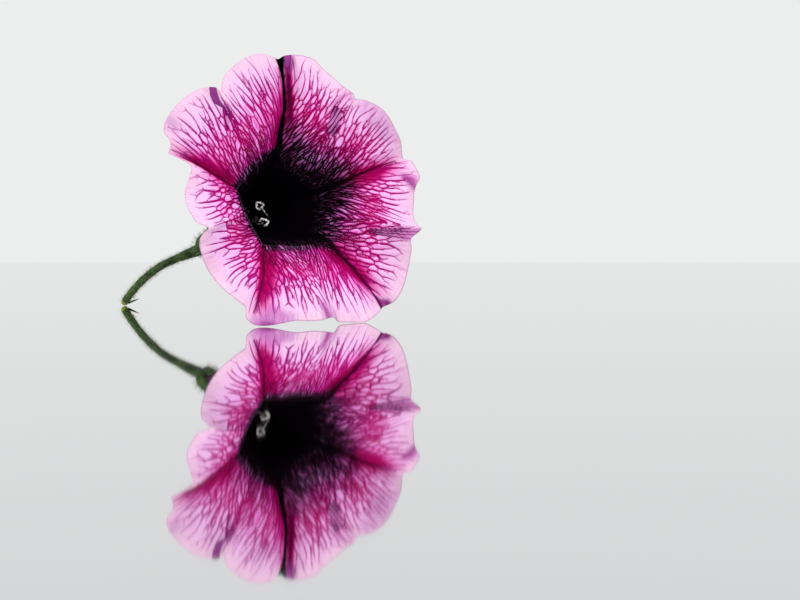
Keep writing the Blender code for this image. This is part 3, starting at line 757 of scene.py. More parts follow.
def patch_cover(patch, azimuth, share):
    """How far inside a striped patch a place lies, from 0 at its rim to 1."""
    middle, half = patch_middle(patch, np.clip(share, patch.start, patch.end))
    inside = ease((PATCH_RIM - np.abs(turn(azimuth, middle)) / half) / PATCH_SIDE_BLUR)
    started = ease((share - patch.start + 0.02) / PATCH_END_BLUR)
    return inside * started * (1.0 - ease((share - patch.end + 0.04) / PATCH_END_BLUR))


def patch_stripes(patch):
    """Samples of the lines across a striped patch, a little wavy and uneven."""
    lines = []
    for place in np.arange(-2.0, 2.0, STRIPE_GAP):
        stations = []
        for share in np.linspace(patch.start + 0.01, patch.end - 0.02, 6):
            middle, half = patch_middle(patch, share)
            slid = place + patch.slant * (share - patch.start) / (patch.end - patch.start)
            across = slid + 0.06 * math.sin(31.0 * share + 9.0 * place)
            width = patch.stripe_half * (1.0 + 0.4 * math.sin(17.0 * share + place))
            stations.append((middle + across * half, share, width))
        lines.append(drawn_line(stations))
    lines = np.concatenate(lines, axis=1)
    return lines[:, patch_cover(patch, lines[0], lines[1]) > 0.3]


def in_space(samples):
    """Places, half widths and directions of samples, whose last two rows are their steps."""
    place = sheet_point(samples[0], samples[1])
    ahead = sheet_point(samples[0] + samples[-2], samples[1] + samples[-1])
    return place, samples[2], unit(ahead - place)


def nearest(points, places):
    """Which of the places is nearest to each point."""
    tree = kdtree.KDTree(len(places))
    for i, place in enumerate(places):
        tree.insert(place, i)
    tree.balance()
    return np.array([tree.find(point)[1] for point in points])


def beside_lines(points, normals, samples):
    """Distance from the nearest line, distance to one side of it or the other, and which sample it is."""
    places, _, ways = in_space(samples)
    found = nearest(points, places)
    offset = points - places[found]
    across = np.cross(ways[found], offset)
    side = np.where(np.sum(across * normals, axis=-1) < 0.0, -1.0, 1.0)
    return np.linalg.norm(offset, axis=-1), side * np.linalg.norm(across, axis=-1), found


def beyond(points, stations):
    """How far each point stands outside a strip, given by places of azimuth, share and half width."""
    places, half, _ = in_space(drawn_line(stations))
    found = nearest(points, places)
    return np.linalg.norm(points - places[found], axis=-1) - half[found]


def soft_strips(points, marks, softness=STRIP_SOFTNESS):
    """Strength of soft edged strips."""
    strength = np.zeros(len(points))
    for most, stations in marks:
        strength = np.maximum(strength, most * (1.0 - ease(0.5 + beyond(points, stations) / softness)))
    return strength


def round_stations(azimuth, stations):
    """Straight interpolation round the bloom, for each value that follows the azimuth in the stations."""
    xs, *columns = [list(values) for values in zip(*stations)]
    xs.append(xs[0] + 360.0)
    x = np.mod(azimuth - xs[0], 360.0) + xs[0]
    return [np.interp(x, xs, ys + ys[:1]) for ys in columns]


def throat_darkness(start, fade, share):
    """How black the throat is: its own dark colour, then painted shade down the tube
    with a last painted trace of light on it just below the edge.
    """
    trace = WALL_TRACE * ease(1.0 - (share - WALL_FADE) / -WALL_FADE)
    return (1.0 - WALL_TRACE) * (1.0 - ease((share - start) / fade)) + trace


def beside_ribs(azimuth, share, zones, narrowing):
    """Strength of a tint beside the mid ribs, narrowing outwards."""
    strength = np.zeros(len(azimuth))
    for at_edge, before, after, reach, most in zones:
        away = turn(azimuth, at_edge)
        width = np.where(away < 0.0, before, after) * (1.0 - narrowing * ease(share / TINT_NARROWED))
        beside = 1.0 - ease((np.abs(away) / width - TINT_CORE) / TINT_SIDE_BLUR)
        inside = 1.0 - ease((share - reach) / TINT_END_BLUR)
        strength = np.maximum(strength, most * beside * inside)
    return strength


def mesh_places(azimuth, share):
    """Column and row of the vein meshes at places of the sheet, and a number for the half lobe."""
    found = np.zeros((3, len(azimuth)))
    for index, half in enumerate(HALF_LOBES):
        away = turn(azimuth, half.rib) * half.sign
        inside = (away >= 0.0) & (away <= half.span)
        column = (away - half.leaned(share)) / half.mesh_width
        row = half.row(np.maximum(share, ROWS_END)) + np.minimum(share - ROWS_END, 0.0) * DEEP_ROWS
        found[:, inside] = np.stack([column, row, np.full(len(azimuth), index * 5.0)])[:, inside]
    return found


def row_shares(start, stretches):
    """Shares of the sheet's rows through stretches of even rows."""
    shares = [start]
    for end, count in stretches:
        shares += list(np.linspace(shares[-1], end, count + 1)[1:])
    return shares


def face_normals(points):
    """Directions out of a sheet given as rows of points round the bloom, on its mouth side."""
    round_it = np.roll(points, -1, axis=1) - np.roll(points, 1, axis=1)
    return unit(np.cross(round_it, np.gradient(points, axis=0)))


def beside_veins(middle, normals, front):
    """Distances from the veins of the net on the face, told apart by side too, and their half widths."""
    lines = [((end[0], *PLEAT_VEIN_FOOT), end) for end in PLEAT_VEIN_ENDS] + list(PLEAT_VEINS)
    veins = [half_veins(half) for half in HALF_LOBES] + [drawn_line(line) for line in lines]
    net = np.concatenate(veins, axis=1)
    for patch in STRIPED_PATCHES:
        clear = patch_cover(patch, net[0], net[1]) < 0.5
        net = np.concatenate([net[:, clear], patch_stripes(patch)], axis=1)
    away = np.zeros((3, len(middle)))
    distance, side, found = beside_lines(middle[front], normals[front], net)
    away[:, front] = np.stack([distance, side, net[2][found]])
    return away


def build_petals(look):
    """The funnel and lobes as one closed fine sheet, veins sunk in it and stored on its points."""
    azimuths = SEAM_AZIMUTH + np.arange(COLUMNS) * 360.0 / COLUMNS
    face_rows = row_shares(1.0, FRONT_ROWS)
    shares = np.array(face_rows + row_shares(FOOT_SHARE, BACK_ROWS))
    split = len(face_rows)
    rows = len(shares)
    azimuth = np.tile(azimuths, rows)
    share = np.repeat(shares, COLUMNS)
    front = np.repeat(np.arange(rows) < split, COLUMNS)
    middle = sheet_point(azimuth, share)
    sheet = middle.reshape(rows, COLUMNS, 3)
    normals = np.concatenate([face_normals(sheet[:split]), -face_normals(sheet[split:])]).reshape(-1, 3)

    net_away, net_side, net_half = beside_veins(middle, normals, front)
    rib_line = np.concatenate([drawn_line(stations) for stations in RIB_LINES], axis=1)
    rib_away, rib_side, found = beside_lines(middle, normals, rib_line)
    rib_half, rib_dark = rib_line[2:4, found]
    on_net = np.where(front, ease((share - VEIN_START) / NET_SETS_IN), 0.0)
    edge = np.minimum(np.where(on_net > 0.0, net_away - net_half, 1.0), rib_away - rib_half)
    relief = CELL_RELIEF * ease(edge / CELL_SLOPE) - VEIN_RELIEF * (1.0 - ease(edge / VEIN_SLOPE))
    relief = relief * on_net * (1.0 - run_in(share, RELIEF_ENDS))
    half = PETAL_THICK / 2.0 * (1.0 - EDGE_THINNER * run_in(share, EDGE_THINS))
    points = middle + normals * (np.where(front, half, -half) + relief)[:, None]
    points[:, 2] = np.maximum(points[:, 2], 0.0)

    column, row, half_lobe = mesh_places(azimuth, share)
    start, fade, violet, pale = round_stations(azimuth, DARKNESS)
    deeper, = round_stations(azimuth, DEEPER)
    glint, = round_stations(azimuth, EDGE_GLINTS)
    magenta = np.maximum(beside_ribs(azimuth, share, MAGENTA, narrowing=0.5),
                         soft_strips(middle, MAGENTA_STAINS))
    stored = {"share": share, "front": front, "column": column, "row": row, "half_lobe": half_lobe,
              "net_away": net_away, "net_side": net_side, "net_half": net_half,
              "rib_away": rib_away, "rib_side": rib_side, "rib_half": rib_half, "rib_dark": rib_dark,
              "dark": throat_darkness(start, fade, share), "violet": violet, "pale": pale,
              "deeper": deeper, "glint": glint,
              "crimson": beside_ribs(azimuth, share, CRIMSON, narrowing=0.7), "magenta": magenta,
              "wine": soft_strips(middle, WINE_FLANKS), "dusky": soft_strips(middle, DUSKY_STAINS_AND_SHADE),
              "mauve": soft_strips(middle, MAUVE_STAINS_AND_SHADE, MAUVE_SOFTNESS),
              "patch": np.max([patch_cover(patch, azimuth, share) for patch in STRIPED_PATCHES], axis=0),
              "crease": beyond(middle, BLACK_CREASE),
              "fold": np.min([beyond(middle, stations) for stations in VIOLET_FOLDS], axis=0)}
    return closed_sheet("petals", points, rows, stored, look)


def closed_sheet(name, points, rows, stored, look):
    """A grid closed on itself both ways, set on the points, with the stored values on its vertices."""
    work = bmesh.new()
    bmesh.ops.create_grid(work, x_segments=COLUMNS, y_segments=rows, size=0.5)
    layers = {key: work.verts.layers.float.new(key) for key in stored}
    for vert in work.verts:
        column = round((vert.co.x + 0.5) * COLUMNS) % COLUMNS
        row = round((vert.co.y + 0.5) * rows) % rows
        place = row * COLUMNS + column
        vert.co = points[place] * MM
        for key, layer in layers.items():
            vert[layer] = float(stored[key][place])
    bmesh.ops.remove_doubles(work, verts=work.verts[:], dist=1e-8)
    return solid_piece(work, name, look)


def solid_piece(work, name, *looks):
    """Turn a closed bmesh into an object, with its faces outwards."""
    bmesh.ops.recalc_face_normals(work, faces=work.faces[:])
    return finish_mesh(work, name, *looks)


def finish_mesh(work, name, *looks):
    """Turn a bmesh into a smooth object that stands at the origin, with its looks in its slots."""
    mesh = bpy.data.meshes.new(name)
    work.to_mesh(mesh)
    work.free()
    mesh.polygons.foreach_set("use_smooth", [True] * len(mesh.polygons))
    for look in looks:
        mesh.materials.append(look)
    piece = bpy.data.objects.new(name, mesh)
    bpy.context.scene.collection.objects.link(piece)
    return piece


def smooth_path(points, count):
    """Points at even steps of a smooth curve through the given ones."""
    points = np.array(points, float)
    ends = np.concatenate([[2.0 * points[0] - points[1]], points, [2.0 * points[-1] - points[-2]]])
    made = []
    for x in np.linspace(0.0, len(points) - 1.0, count):
        i = min(int(x), len(points) - 2)
        t = x - i
        a, b, c, d = ends[i:i + 4]
        made.append(0.5 * (2.0 * b + (c - a) * t + (2.0 * a - 5.0 * b + 4.0 * c - d) * t * t
                           + (3.0 * b - a - 3.0 * c + d) * t ** 3))
    return np.array(made)


def ring_edges(ring):
    """Edges that join the vertices of a ring."""
    edges = dict.fromkeys(edge for vert in ring for edge in vert.link_edges)
    return [edge for edge in edges if edge.verts[0] in ring and edge.verts[1] in ring]


def square_to(way):
    """A direction square to another one."""
    return unit(np.cross(way, [0.12, 0.2, 1.0]))


def sweep(work, path, radii, sides, flatten=1.0):
    """Extrude a capped ring along a path in millimetres, storing the share of its length on the vertices."""
    path = np.asarray(path, float)
    along = unit(np.gradient(path, axis=0))
    across = square_to(along[0])
    layer = work.verts.layers.float.get("along") or work.verts.layers.float.new("along")
    ring = bmesh.ops.create_circle(work, cap_ends=False, radius=1.0, segments=sides)["verts"]
    first = list(ring)
    for step, (place, direction, radius) in enumerate(zip(path, along, radii)):
        if step > 0:
            made = bmesh.ops.extrude_edge_only(work, edges=ring_edges(ring))["geom"]
            links = {}
            for vert in (g for g in made if isinstance(g, bmesh.types.BMVert)):
                below = next(e.other_vert(vert) for e in vert.link_edges if e.other_vert(vert) in ring)
                links[below] = vert
            ring = [links[v] for v in ring]
        across = unit(across - direction * np.dot(across, direction))
        up = np.cross(direction, across)
        for k, vert in enumerate(ring):
            angle = 2.0 * math.pi * k / sides
            vert.co = (place + radius * (math.cos(angle) * across + flatten * math.sin(angle) * up)) * MM
            vert[layer] = step / (len(path) - 1)
    for end in (first, ring):
        bmesh.ops.contextual_create(work, geom=ring_edges(end))


def hair(work, root, way, length, bend):
    """A thin tapering hair of a few faces, kept above the floor."""
    across = unit(np.cross(way, [0.31, 0.2, 1.0]))
    up = np.cross(way, across)
    tip = root + way * length + bend * length
    made = bmesh.ops.create_cone(work, cap_ends=False, segments=3, radius1=HAIR_RADIUS * MM,
                                 radius2=HAIR_RADIUS * HAIR_TIP * MM, depth=MM)
    for vert in made["verts"]:
        end = tip if vert.co.z > 0.0 else root - way * HAIR_ROOT
        flat = np.array(vert.co.x * across + vert.co.y * up)
        vert.co = np.maximum(flat + end * MM, (-1.0, -1.0, 0.0))


def arithmetic(operation, turned=False):
    """A method that adds one Math node. Turned, it takes the other value first."""
    def method(self, other=0.0):
        values = {0: other, 1: self} if turned else {0: self, 1: other}
        return Number(self.look, self.look.node("ShaderNodeMath", {"operation": operation}, values))
    return method


class Number:
    """A number in a material: arithmetic on it adds Math nodes."""

    def __init__(self, look, socket):
        self.look = look
        self.socket = socket

    __add__ = arithmetic("ADD")
    __radd__ = arithmetic("ADD", turned=True)
    __sub__ = arithmetic("SUBTRACT")
    __rsub__ = arithmetic("SUBTRACT", turned=True)
    __mul__ = arithmetic("MULTIPLY")
    __rmul__ = arithmetic("MULTIPLY", turned=True)
    __truediv__ = arithmetic("DIVIDE")
    size = arithmetic("ABSOLUTE")
    most = arithmetic("MAXIMUM")
    cycle = arithmetic("FRACT")

    def rise(self, low, high):
        """0 below low and 1 above high, smooth between them."""
        return Number(self.look, self.look.node("ShaderNodeMapRange", {"interpolation_type": "SMOOTHSTEP"},
                                                {"Value": self, "From Min": low, "From Max": high}))


class Look:
    """A procedural material that is built from nodes."""

    def __init__(self, name, roughness, soft=(), **fixed):
        """Soft holds how much light passes below the skin, how far in each colour, and at what scale."""
        self.material = bpy.data.materials.new(name)
        self.material.use_nodes = True
        self.tree = self.material.node_tree
        self.shader = self.tree.nodes["Principled BSDF"]
        fixed.update(zip(("Subsurface_Weight", "Subsurface_Radius", "Subsurface_Scale"), soft))
        for key, value in {"Roughness": roughness, **fixed}.items():
            self.shader.inputs[key.replace("_", " ")].default_value = value

    def node(self, kind, settings=None, sockets=None, output=0):
        """Any node: its settings first, then the values or links of its sockets. Gives one output."""
        made = self.tree.nodes.new(kind)
        for key, value in (settings or {}).items():
            setattr(made, key, value)
        for key, value in (sockets or {}).items():
            self.feed(made.inputs[key], value)
        return made.outputs[output]

    def feed(self, socket, value):
        """Link a socket to a number or another socket, or set its value."""
        value = value.socket if isinstance(value, Number) else value
        if isinstance(value, bpy.types.NodeSocket):
            self.tree.links.new(value, socket)
        else:
            socket.default_value = value

    def stored(self, name):
        """A value stored on the piece's vertices."""
        return Number(self, self.node("ShaderNodeAttribute", {"attribute_name": name}, output="Fac"))

    def place(self):
        return self.node("ShaderNodeTexCoord", output="Object")

    def vector(self, x, y, z):
        return self.node("ShaderNodeCombineXYZ", {}, {0: x, 1: y, 2: z})

    def noise(self, place, scale, detail, rough=0.5):
        return Number(self, self.node("ShaderNodeTexNoise", {}, {"Vector": place, "Scale": scale,
                                                                 "Detail": detail, "Roughness": rough}))

    def mix(self, factor, first, second):
        """A blend of two colours."""
        return self.node("ShaderNodeMix", {"data_type": "RGBA", "clamp_factor": True},
                         {0: factor, 6: first, 7: second}, output=2)

    def paint(self, colour, *coats):
        """A colour with coats laid over it in turn, each given by its cover and its colour."""
        for cover, coat in coats:
            colour = self.mix(cover, colour, coat)
        return colour

    def ramp(self, value, stations):
        """A colour that runs through stations of value and colour."""
        coats = []
        for (low, _), (high, further) in zip(stations, stations[1:]):
            sockets = {"Value": value, "From Min": low, "From Max": high}
            coats.append((self.node("ShaderNodeMapRange", {}, sockets), further))
        return self.paint(stations[0][1], *coats)

    def bump(self, height, distance, strength):
        sockets = {"Height": height, "Distance": distance, "Strength": strength}
        return self.node("ShaderNodeBump", {}, sockets)

    def finish(self, colour, roughness=None, normal=None):
        """Link what changes over the surface."""
        for key, value in (("Base Color", colour), ("Roughness", roughness), ("Normal", normal)):
            if value is not None:
                self.feed(self.shader.inputs[key], value)
        return self.material


def tone(red, green, blue):
    """A colour, linear."""
    return (red, green, blue, 1.0)


MARGIN_PINK = tone(0.92, 0.6, 0.79)
# Painted shade along the petal's edge.
EDGE_SHADE_LINE = tone(0.5, 0.22, 0.42)
OUTER_PINK = tone(0.94, 0.56, 0.88)
PALE_PINK = tone(0.94, 0.5, 0.92)
LILAC_PINK = tone(0.93, 0.36, 0.88)
DEEP_PINK = tone(0.6, 0.07, 0.42)
GLOW_MAGENTA = tone(0.76, 0.012, 0.42)
CERISE = tone(0.68, 0.008, 0.28)
CRIMSON_RED = tone(0.46, 0.001, 0.11)
VEIN_COLOURS = (
    (0.04, tone(0.045, 0.0003, 0.021)), (0.2, tone(0.2, 0.0006, 0.055)), (0.36, tone(0.42, 0.001, 0.12)),
    (0.55, tone(0.38, 0.0015, 0.16)), (0.72, tone(0.3, 0.008, 0.19)), (0.9, tone(0.36, 0.06, 0.29)))
THROAT_BLACK = tone(0.0012, 0.0003, 0.0015)
DUSK_MAUVE = tone(0.52, 0.04, 0.25)
DUSK_VIOLET = tone(0.34, 0.06, 0.32)
# Painted highlight on the cells of the dusk.
DUSK_HIGHLIGHT = tone(0.68, 0.3, 0.72)
NIGHT_MAUVE = tone(0.12, 0.015, 0.075)
NIGHT_VIOLET = tone(0.08, 0.03, 0.075)
RIB_RED = tone(0.42, 0.001, 0.09)
RIB_BLACK = tone(0.012, 0.0003, 0.004)
WINE = tone(0.05, 0.0004, 0.014)
FOLD_VIOLET = tone(0.31, 0.05, 0.28)
FOLD_DARK = tone(0.06, 0.004, 0.06)
DUSKY_MAUVE = tone(0.34, 0.042, 0.26)
PATCH_MAUVE = tone(0.55, 0.17, 0.45)
PATCH_PALE = tone(0.8, 0.26, 0.66)
PATCH_LINE = tone(0.1, 0.006, 0.08)
# Pale mauve, partly the petal's own tint and mostly painted shade on folds and wrinkles.
MAUVE_STAIN_AND_SHADE = tone(0.5, 0.19, 0.5)
GLINT_LILAC = tone(0.45, 0.3, 0.5)
BACK_PINK = tone(0.8, 0.4, 0.68)
BACK_MAUVE = tone(0.5, 0.17, 0.42)
BACK_VIOLET = tone(0.24, 0.04, 0.22)


def petal_look():
    """Thin pink petal with a wine net of veins, crimson beside the ribs and a black throat, deepened by
    painted shade down the tube.
    """
    look = Look("petal_skin", 0.7, (0.1, (1.0, 0.45, 0.8), 0.0004), Specular_IOR_Level=0.02)
    share, front, dark, deeper = [look.stored(name) for name in ("share", "front", "dark", "deeper")]
    column, row, half_lobe = [look.stored(name) for name in ("column", "row", "half_lobe")]
    crimson, magenta, wine = [look.stored(name) for name in ("crimson", "magenta", "wine")]
    dusky, mauve, patch, glint = [look.stored(name) for name in ("dusky", "mauve", "patch", "glint")]
    each_cell = look.noise(look.vector(column, row, half_lobe), 0.9, 1.0)
    streaks = look.noise(look.vector(column, row * 0.12, half_lobe), 1.5, 4.0, 0.6)
    fine = look.noise(look.vector(column, row * 0.2, half_lobe), 5.0, 3.0, 0.6)
    blotch = look.noise(look.place(), 160.0, 3.0, 0.55)

    # Distance outside the veins of the net and outside the mid ribs.
    away = look.stored("net_side").size().most(look.stored("net_away") - LINE_BLUR)
    edge = away - look.stored("net_half") * (0.7 + 0.5 * blotch) - dark * 0.07
    rib_away = look.stored("rib_side").size().most(look.stored("rib_away") - LINE_BLUR)
    rib_edge = rib_away - look.stored("rib_half")

    # The flesh between the veins, its tints beside the ribs, its stains and painted shade, then the dusk
    # towards the throat with painted highlights, and the painted shade down the tube.
    inside = 1.0 - share.rise(0.45, 0.8)
    glow = 1.0 - edge.rise(0.0, 0.24)
    reddened = crimson * (0.3 + 0.8 * streaks + 0.6 * fine)
    streaky = wine + (fine - 0.5) * 1.1
    # The dusk: mauve and violet, with painted pale lilac highlights on some of its cells.
    dusk = look.paint(DUSK_MAUVE, (look.stored("violet"), DUSK_VIOLET),
                      (look.stored("pale") * each_cell.rise(0.35, 0.6), DUSK_HIGHLIGHT))
    striped = look.mix(share.rise(0.68, 0.9), PATCH_MAUVE, PATCH_PALE)
    cell = look.paint(
        DEEP_PINK,
        (share.rise(0.02, 0.3), LILAC_PINK),
        (share.rise(0.3, 0.6), PALE_PINK),
        (share.rise(0.55, 0.75), OUTER_PINK),
        (share.rise(0.75, 0.98), MARGIN_PINK),
        (each_cell.rise(0.45, 0.65) * inside * 0.75, PALE_PINK),
        ((1.0 - each_cell.rise(0.3, 0.48)) * inside * 0.6, GLOW_MAGENTA),
        # Fine mauve streaks on the outer petal, partly its own fine lines and partly painted shade of soft
        # wrinkles.
        (fine.rise(0.45, 0.7) * share.rise(0.5, 0.9) * 0.3, MAUVE_STAIN_AND_SHADE),
        (streaks.rise(0.5, 0.75) * share.rise(0.5, 0.9) * 0.3, MAUVE_STAIN_AND_SHADE),
        (glow * (0.75 - 0.45 * share.rise(0.3, 0.8)), GLOW_MAGENTA),
        (magenta * (0.1 + 1.1 * streaks + 0.8 * (each_cell - 0.5)), GLOW_MAGENTA),
        (reddened, CERISE),
        ((reddened - 0.4).rise(0.0, 0.6), CRIMSON_RED),
        (streaky.rise(0.1, 0.55), CERISE),
        (streaky.rise(0.35, 1.0) * 0.9, WINE),
        # Pale mauve on the margins, mostly painted shade where they fold.
        (mauve * (0.2 + 1.2 * fine), MAUVE_STAIN_AND_SHADE),
        # Dusky at folds and curled tips, partly their darker outer face and partly painted shade.
        (dusky, look.mix(fine.rise(0.36, 0.5), FOLD_DARK, DUSKY_MAUVE)),
        # Striped patches, partly painted shade on the flank of a fold.
        (patch * 0.9, look.mix(fine.rise(0.3, 0.45), DUSKY_MAUVE, striped)),
        # A thin line of painted shade along the edge, stronger on the right side.
        (share.rise(0.984, 0.996) * (0.3 + 0.45 * deeper), EDGE_SHADE_LINE),
        ((dark - (each_cell - 0.5) * 0.3).rise(0.06, 0.48), dusk),
        ((1.0 - fine.rise(0.35, 0.6)) * dark.rise(0.05, 0.3) * 0.7, NIGHT_MAUVE),
        # Painted shade down the tube over the throat's own near black: night mauve, then night violet that
        # is black where the edge glints, then black.
        (dark.rise(0.42, 0.82), NIGHT_MAUVE),
        (dark.rise(0.75, 0.93), look.mix(glint, NIGHT_VIOLET, THROAT_BLACK)),
        (dark.rise(0.93, 1.0), THROAT_BLACK))

    # The veins, the mid ribs, the painted glints on the throat's edge, the violet folds and the black crease
    # with painted shade of its deep fold.
    line = look.paint(
        look.ramp(share + (blotch - 0.5) * 0.25 - deeper * 0.15, VEIN_COLOURS),
        (wine.most(dusky).most(patch) * 0.9, look.mix(dusky.most(patch), RIB_BLACK, PATCH_LINE)),
        (crimson * 0.45, VEIN_COLOURS[1][1]),
        (dark.rise(0.0, 0.5), THROAT_BLACK))
    rib_line = look.paint(
        RIB_RED,
        (share.rise(0.4, 0.75), line),
        (look.stored("rib_dark"), RIB_BLACK),
        (dark.rise(0.2, 0.8), THROAT_BLACK))
    vein = 1.0 - edge.rise(-0.05, 0.065)
    lit_edge = fine.rise(0.5, 0.62) * (1.0 - (share - 0.016).size().rise(0.003, 0.012))
    fold = look.stored("fold") + (streaks - 0.5) * 0.3
    shade = look.mix(fine.rise(0.3, 0.45), FOLD_DARK, FOLD_VIOLET)
    crease = look.stored("crease") + (streaks - 0.5) * 0.4
    face = look.paint(
        cell,
        (vein * (1.0 - share.rise(0.7, 1.0) * 0.3), line),
        (1.0 - (rib_edge + (streaks - 0.5) * 0.3).rise(-0.2, 0.3), rib_line),
        (glint * lit_edge, GLINT_LILAC),
        (1.0 - fold.rise(-0.15, 0.15), look.mix(fold.rise(-0.35, 0.05), shade, FOLD_DARK)),
        (1.0 - crease.rise(-0.3, 0.35), THROAT_BLACK))

    # The back, with its veins drawn along the columns of the meshes.
    waver = look.noise(look.vector(column * 0.3, row * 0.25, half_lobe), 1.2, 2.0)
    strayed = column + (waver - 0.5) * 1.6
    main_vein = 1.0 - ((strayed / 3.0).cycle() - 0.5).size().rise(0.015, 0.06)
    side_vein = 1.0 - (strayed.cycle() - 0.5).size().rise(0.03, 0.16)
    rib = 1.0 - rib_edge.rise(-0.3, 0.3)
    back = look.paint(
        look.mix(streaks.rise(0.35, 0.7), BACK_PINK, BACK_MAUVE),
        (share.rise(0.3, 0.95) * 0.6, MARGIN_PINK),
        (1.0 - share.rise(-0.5, 0.35), look.mix(streaks.rise(0.35, 0.65), BACK_VIOLET, BACK_MAUVE)),
        (main_vein.most(rib) * (0.7 - 0.45 * share.rise(0.5, 0.95)), BACK_VIOLET),
        (side_vein * share.rise(0.1, 0.4) * (1.0 - share.rise(0.6, 0.9)) * 0.35, BACK_VIOLET))
    return look.finish(look.mix(front.rise(0.4, 0.6), back, face), 0.65 + (fine - 0.5) * 0.2,
                       look.bump(fine * 0.5 + streaks, 0.0001, 0.6))


FLOOR_GREY = tone(0.7, 0.7, 0.71)
FLOOR_SHADE = tone(0.6895, 0.6895, 0.69935)
STALK_GREEN = tone(0.045, 0.095, 0.022)
STALK_DARK = tone(0.012, 0.03, 0.005)
STALK_LIGHT = tone(0.1, 0.17, 0.05)
CUT_YELLOW = tone(0.5, 0.5, 0.12)
HAIR_PALE = tone(0.2, 0.26, 0.12)
SAC_DUSK = tone(0.012, 0.004, 0.012)
GRAIN_SHADE = tone(0.2, 0.16, 0.18)
GRAIN_CREAM = tone(0.97, 0.95, 0.9)
THREAD_DARK = tone(0.014, 0.004, 0.016)
# Painted glint on the filaments.
THREAD_GLINT = tone(0.6, 0.52, 0.58)
STYLE_DARK = tone(0.02, 0.028, 0.01)
STYLE_OLIVE = tone(0.045, 0.055, 0.02)
STIGMA_DARK = tone(0.01, 0.014, 0.006)


def stalk_look():
    """Green skin with long cells, paler near the cut end."""
    look = Look("stalk_skin", 0.55, (0.1, (0.4, 0.8, 0.2), 0.0008), Specular_IOR_Level=0.1)
    mottle = look.noise(look.place(), 900.0, 4.0, 0.6)
    patch = look.noise(look.place(), 160.0, 2.0)
    uncut = (look.stored("along") + (patch - 0.5) * 0.02).rise(0.012, 0.05)
    colour = look.paint(
        STALK_GREEN,
        (patch.rise(0.35, 0.7), STALK_DARK),
        (mottle.rise(0.55, 0.8) * 0.6, STALK_LIGHT),
        (1.0 - uncut, CUT_YELLOW))
    return look.finish(colour, 0.5 + 0.25 * mottle, look.bump(mottle, 0.00012, 0.7))


def calyx_look():
    """Dark green cup and lobes, mottled, each lobe with a paler mid rib."""
    look = Look("calyx_skin", 0.6, (0.08, (0.4, 0.8, 0.2), 0.0006), Specular_IOR_Level=0.12)
    mottle = look.noise(look.place(), 700.0, 4.0, 0.6)
    patch = look.noise(look.place(), 220.0, 2.0)
    colour = look.paint(
        STALK_GREEN,
        (patch.rise(0.3, 0.7), STALK_DARK),
        (mottle.rise(0.5, 0.8) * 0.5, STALK_LIGHT),
        (look.stored("midrib") * 0.6, STALK_LIGHT))
    return look.finish(colour, 0.5 + 0.25 * mottle, look.bump(mottle, 0.00012, 0.8))


def hair_look():
    """Fine translucent hairs."""
    look = Look("plant_hair", 0.45, (0.3, (0.6, 0.7, 0.4), 0.0004))
    tint = look.noise(look.place(), 500.0, 2.0)
    return look.finish(look.mix(tint.rise(0.3, 0.7), HAIR_PALE, STALK_LIGHT))


def pollen_look():
    """Pale grains, a little cream, and the dusky sac between them; the deep anthers are all
    near black, painted shade.
    """
    look = Look("anther_pollen", 0.85, (0.15, (0.6, 0.5, 0.4), 0.0004))
    grain = look.noise(look.place(), 2600.0, 3.0, 0.6)
    grain_tone = look.mix(grain.rise(0.38, 0.54), GRAIN_SHADE, GRAIN_CREAM)
    colour = look.mix(look.stored("pale"), SAC_DUSK, grain_tone)
    return look.finish(colour, 0.7 + 0.25 * grain, look.bump(grain, 0.00006, 0.8))


def thread_look():
    """Slender stalks of the stamens, dark violet deepened by painted shade low in the tube, with broken
    painted glints near the two pale anthers.
    """
    look = Look("stamen_thread", 0.4, (0.2, (0.6, 0.4, 0.6), 0.0004))
    tint = look.noise(look.place(), 1500.0, 2.0)
    upper = look.stored("along").rise(0.78, 0.86) * look.stored("pale")
    colour = look.mix(upper * tint.rise(0.42, 0.52), THREAD_DARK, THREAD_GLINT)
    return look.finish(colour, 0.35 + 0.2 * tint)


def pistil_look():
    """Olive ovary and style, near black as painted shade in the tube, with a wet darker stigma."""
    look = Look("pistil_skin", 0.4, (0.15, (0.4, 0.6, 0.2), 0.0005), Coat_Weight=0.1)
    tint = look.noise(look.place(), 900.0, 3.0)
    colour = look.paint(
        STYLE_DARK,
        (tint.rise(0.3, 0.7), STYLE_OLIVE),
        (look.stored("along").rise(0.86, 0.95), STIGMA_DARK))
    return look.finish(colour, 0.3 + 0.3 * tint, look.bump(tint, 0.00008, 0.6))


FOOT_ALONG = spine_frame(0.0)[0]
CALYX_FOOT = STALK_JOINT + (SEAT_GAP + CALYX_WALL / 2.0) * FOOT_ALONG


def round_place(middle, t, azimuth, radius):
    """A place round a middle, in the plane square to the tube at a share of its length."""
    _, side, rise = spine_frame(t)
    flat = polar(radius, azimuth)
    return middle + flat[0] * side + flat[1] * rise


def cup_place(azimuth, radius, height):
    """A place on the calyx by azimuth, radius and height above its foot."""
    return round_place(CALYX_FOOT + height * FOOT_ALONG, 0.0, azimuth, radius)


def lobe_radius(share):
    """How far from the calyx's middle a lobe stands at a share of its length."""
    return CUP_RADIUS + LOBE_SPREAD * LOBE_LENGTH * share ** 1.5


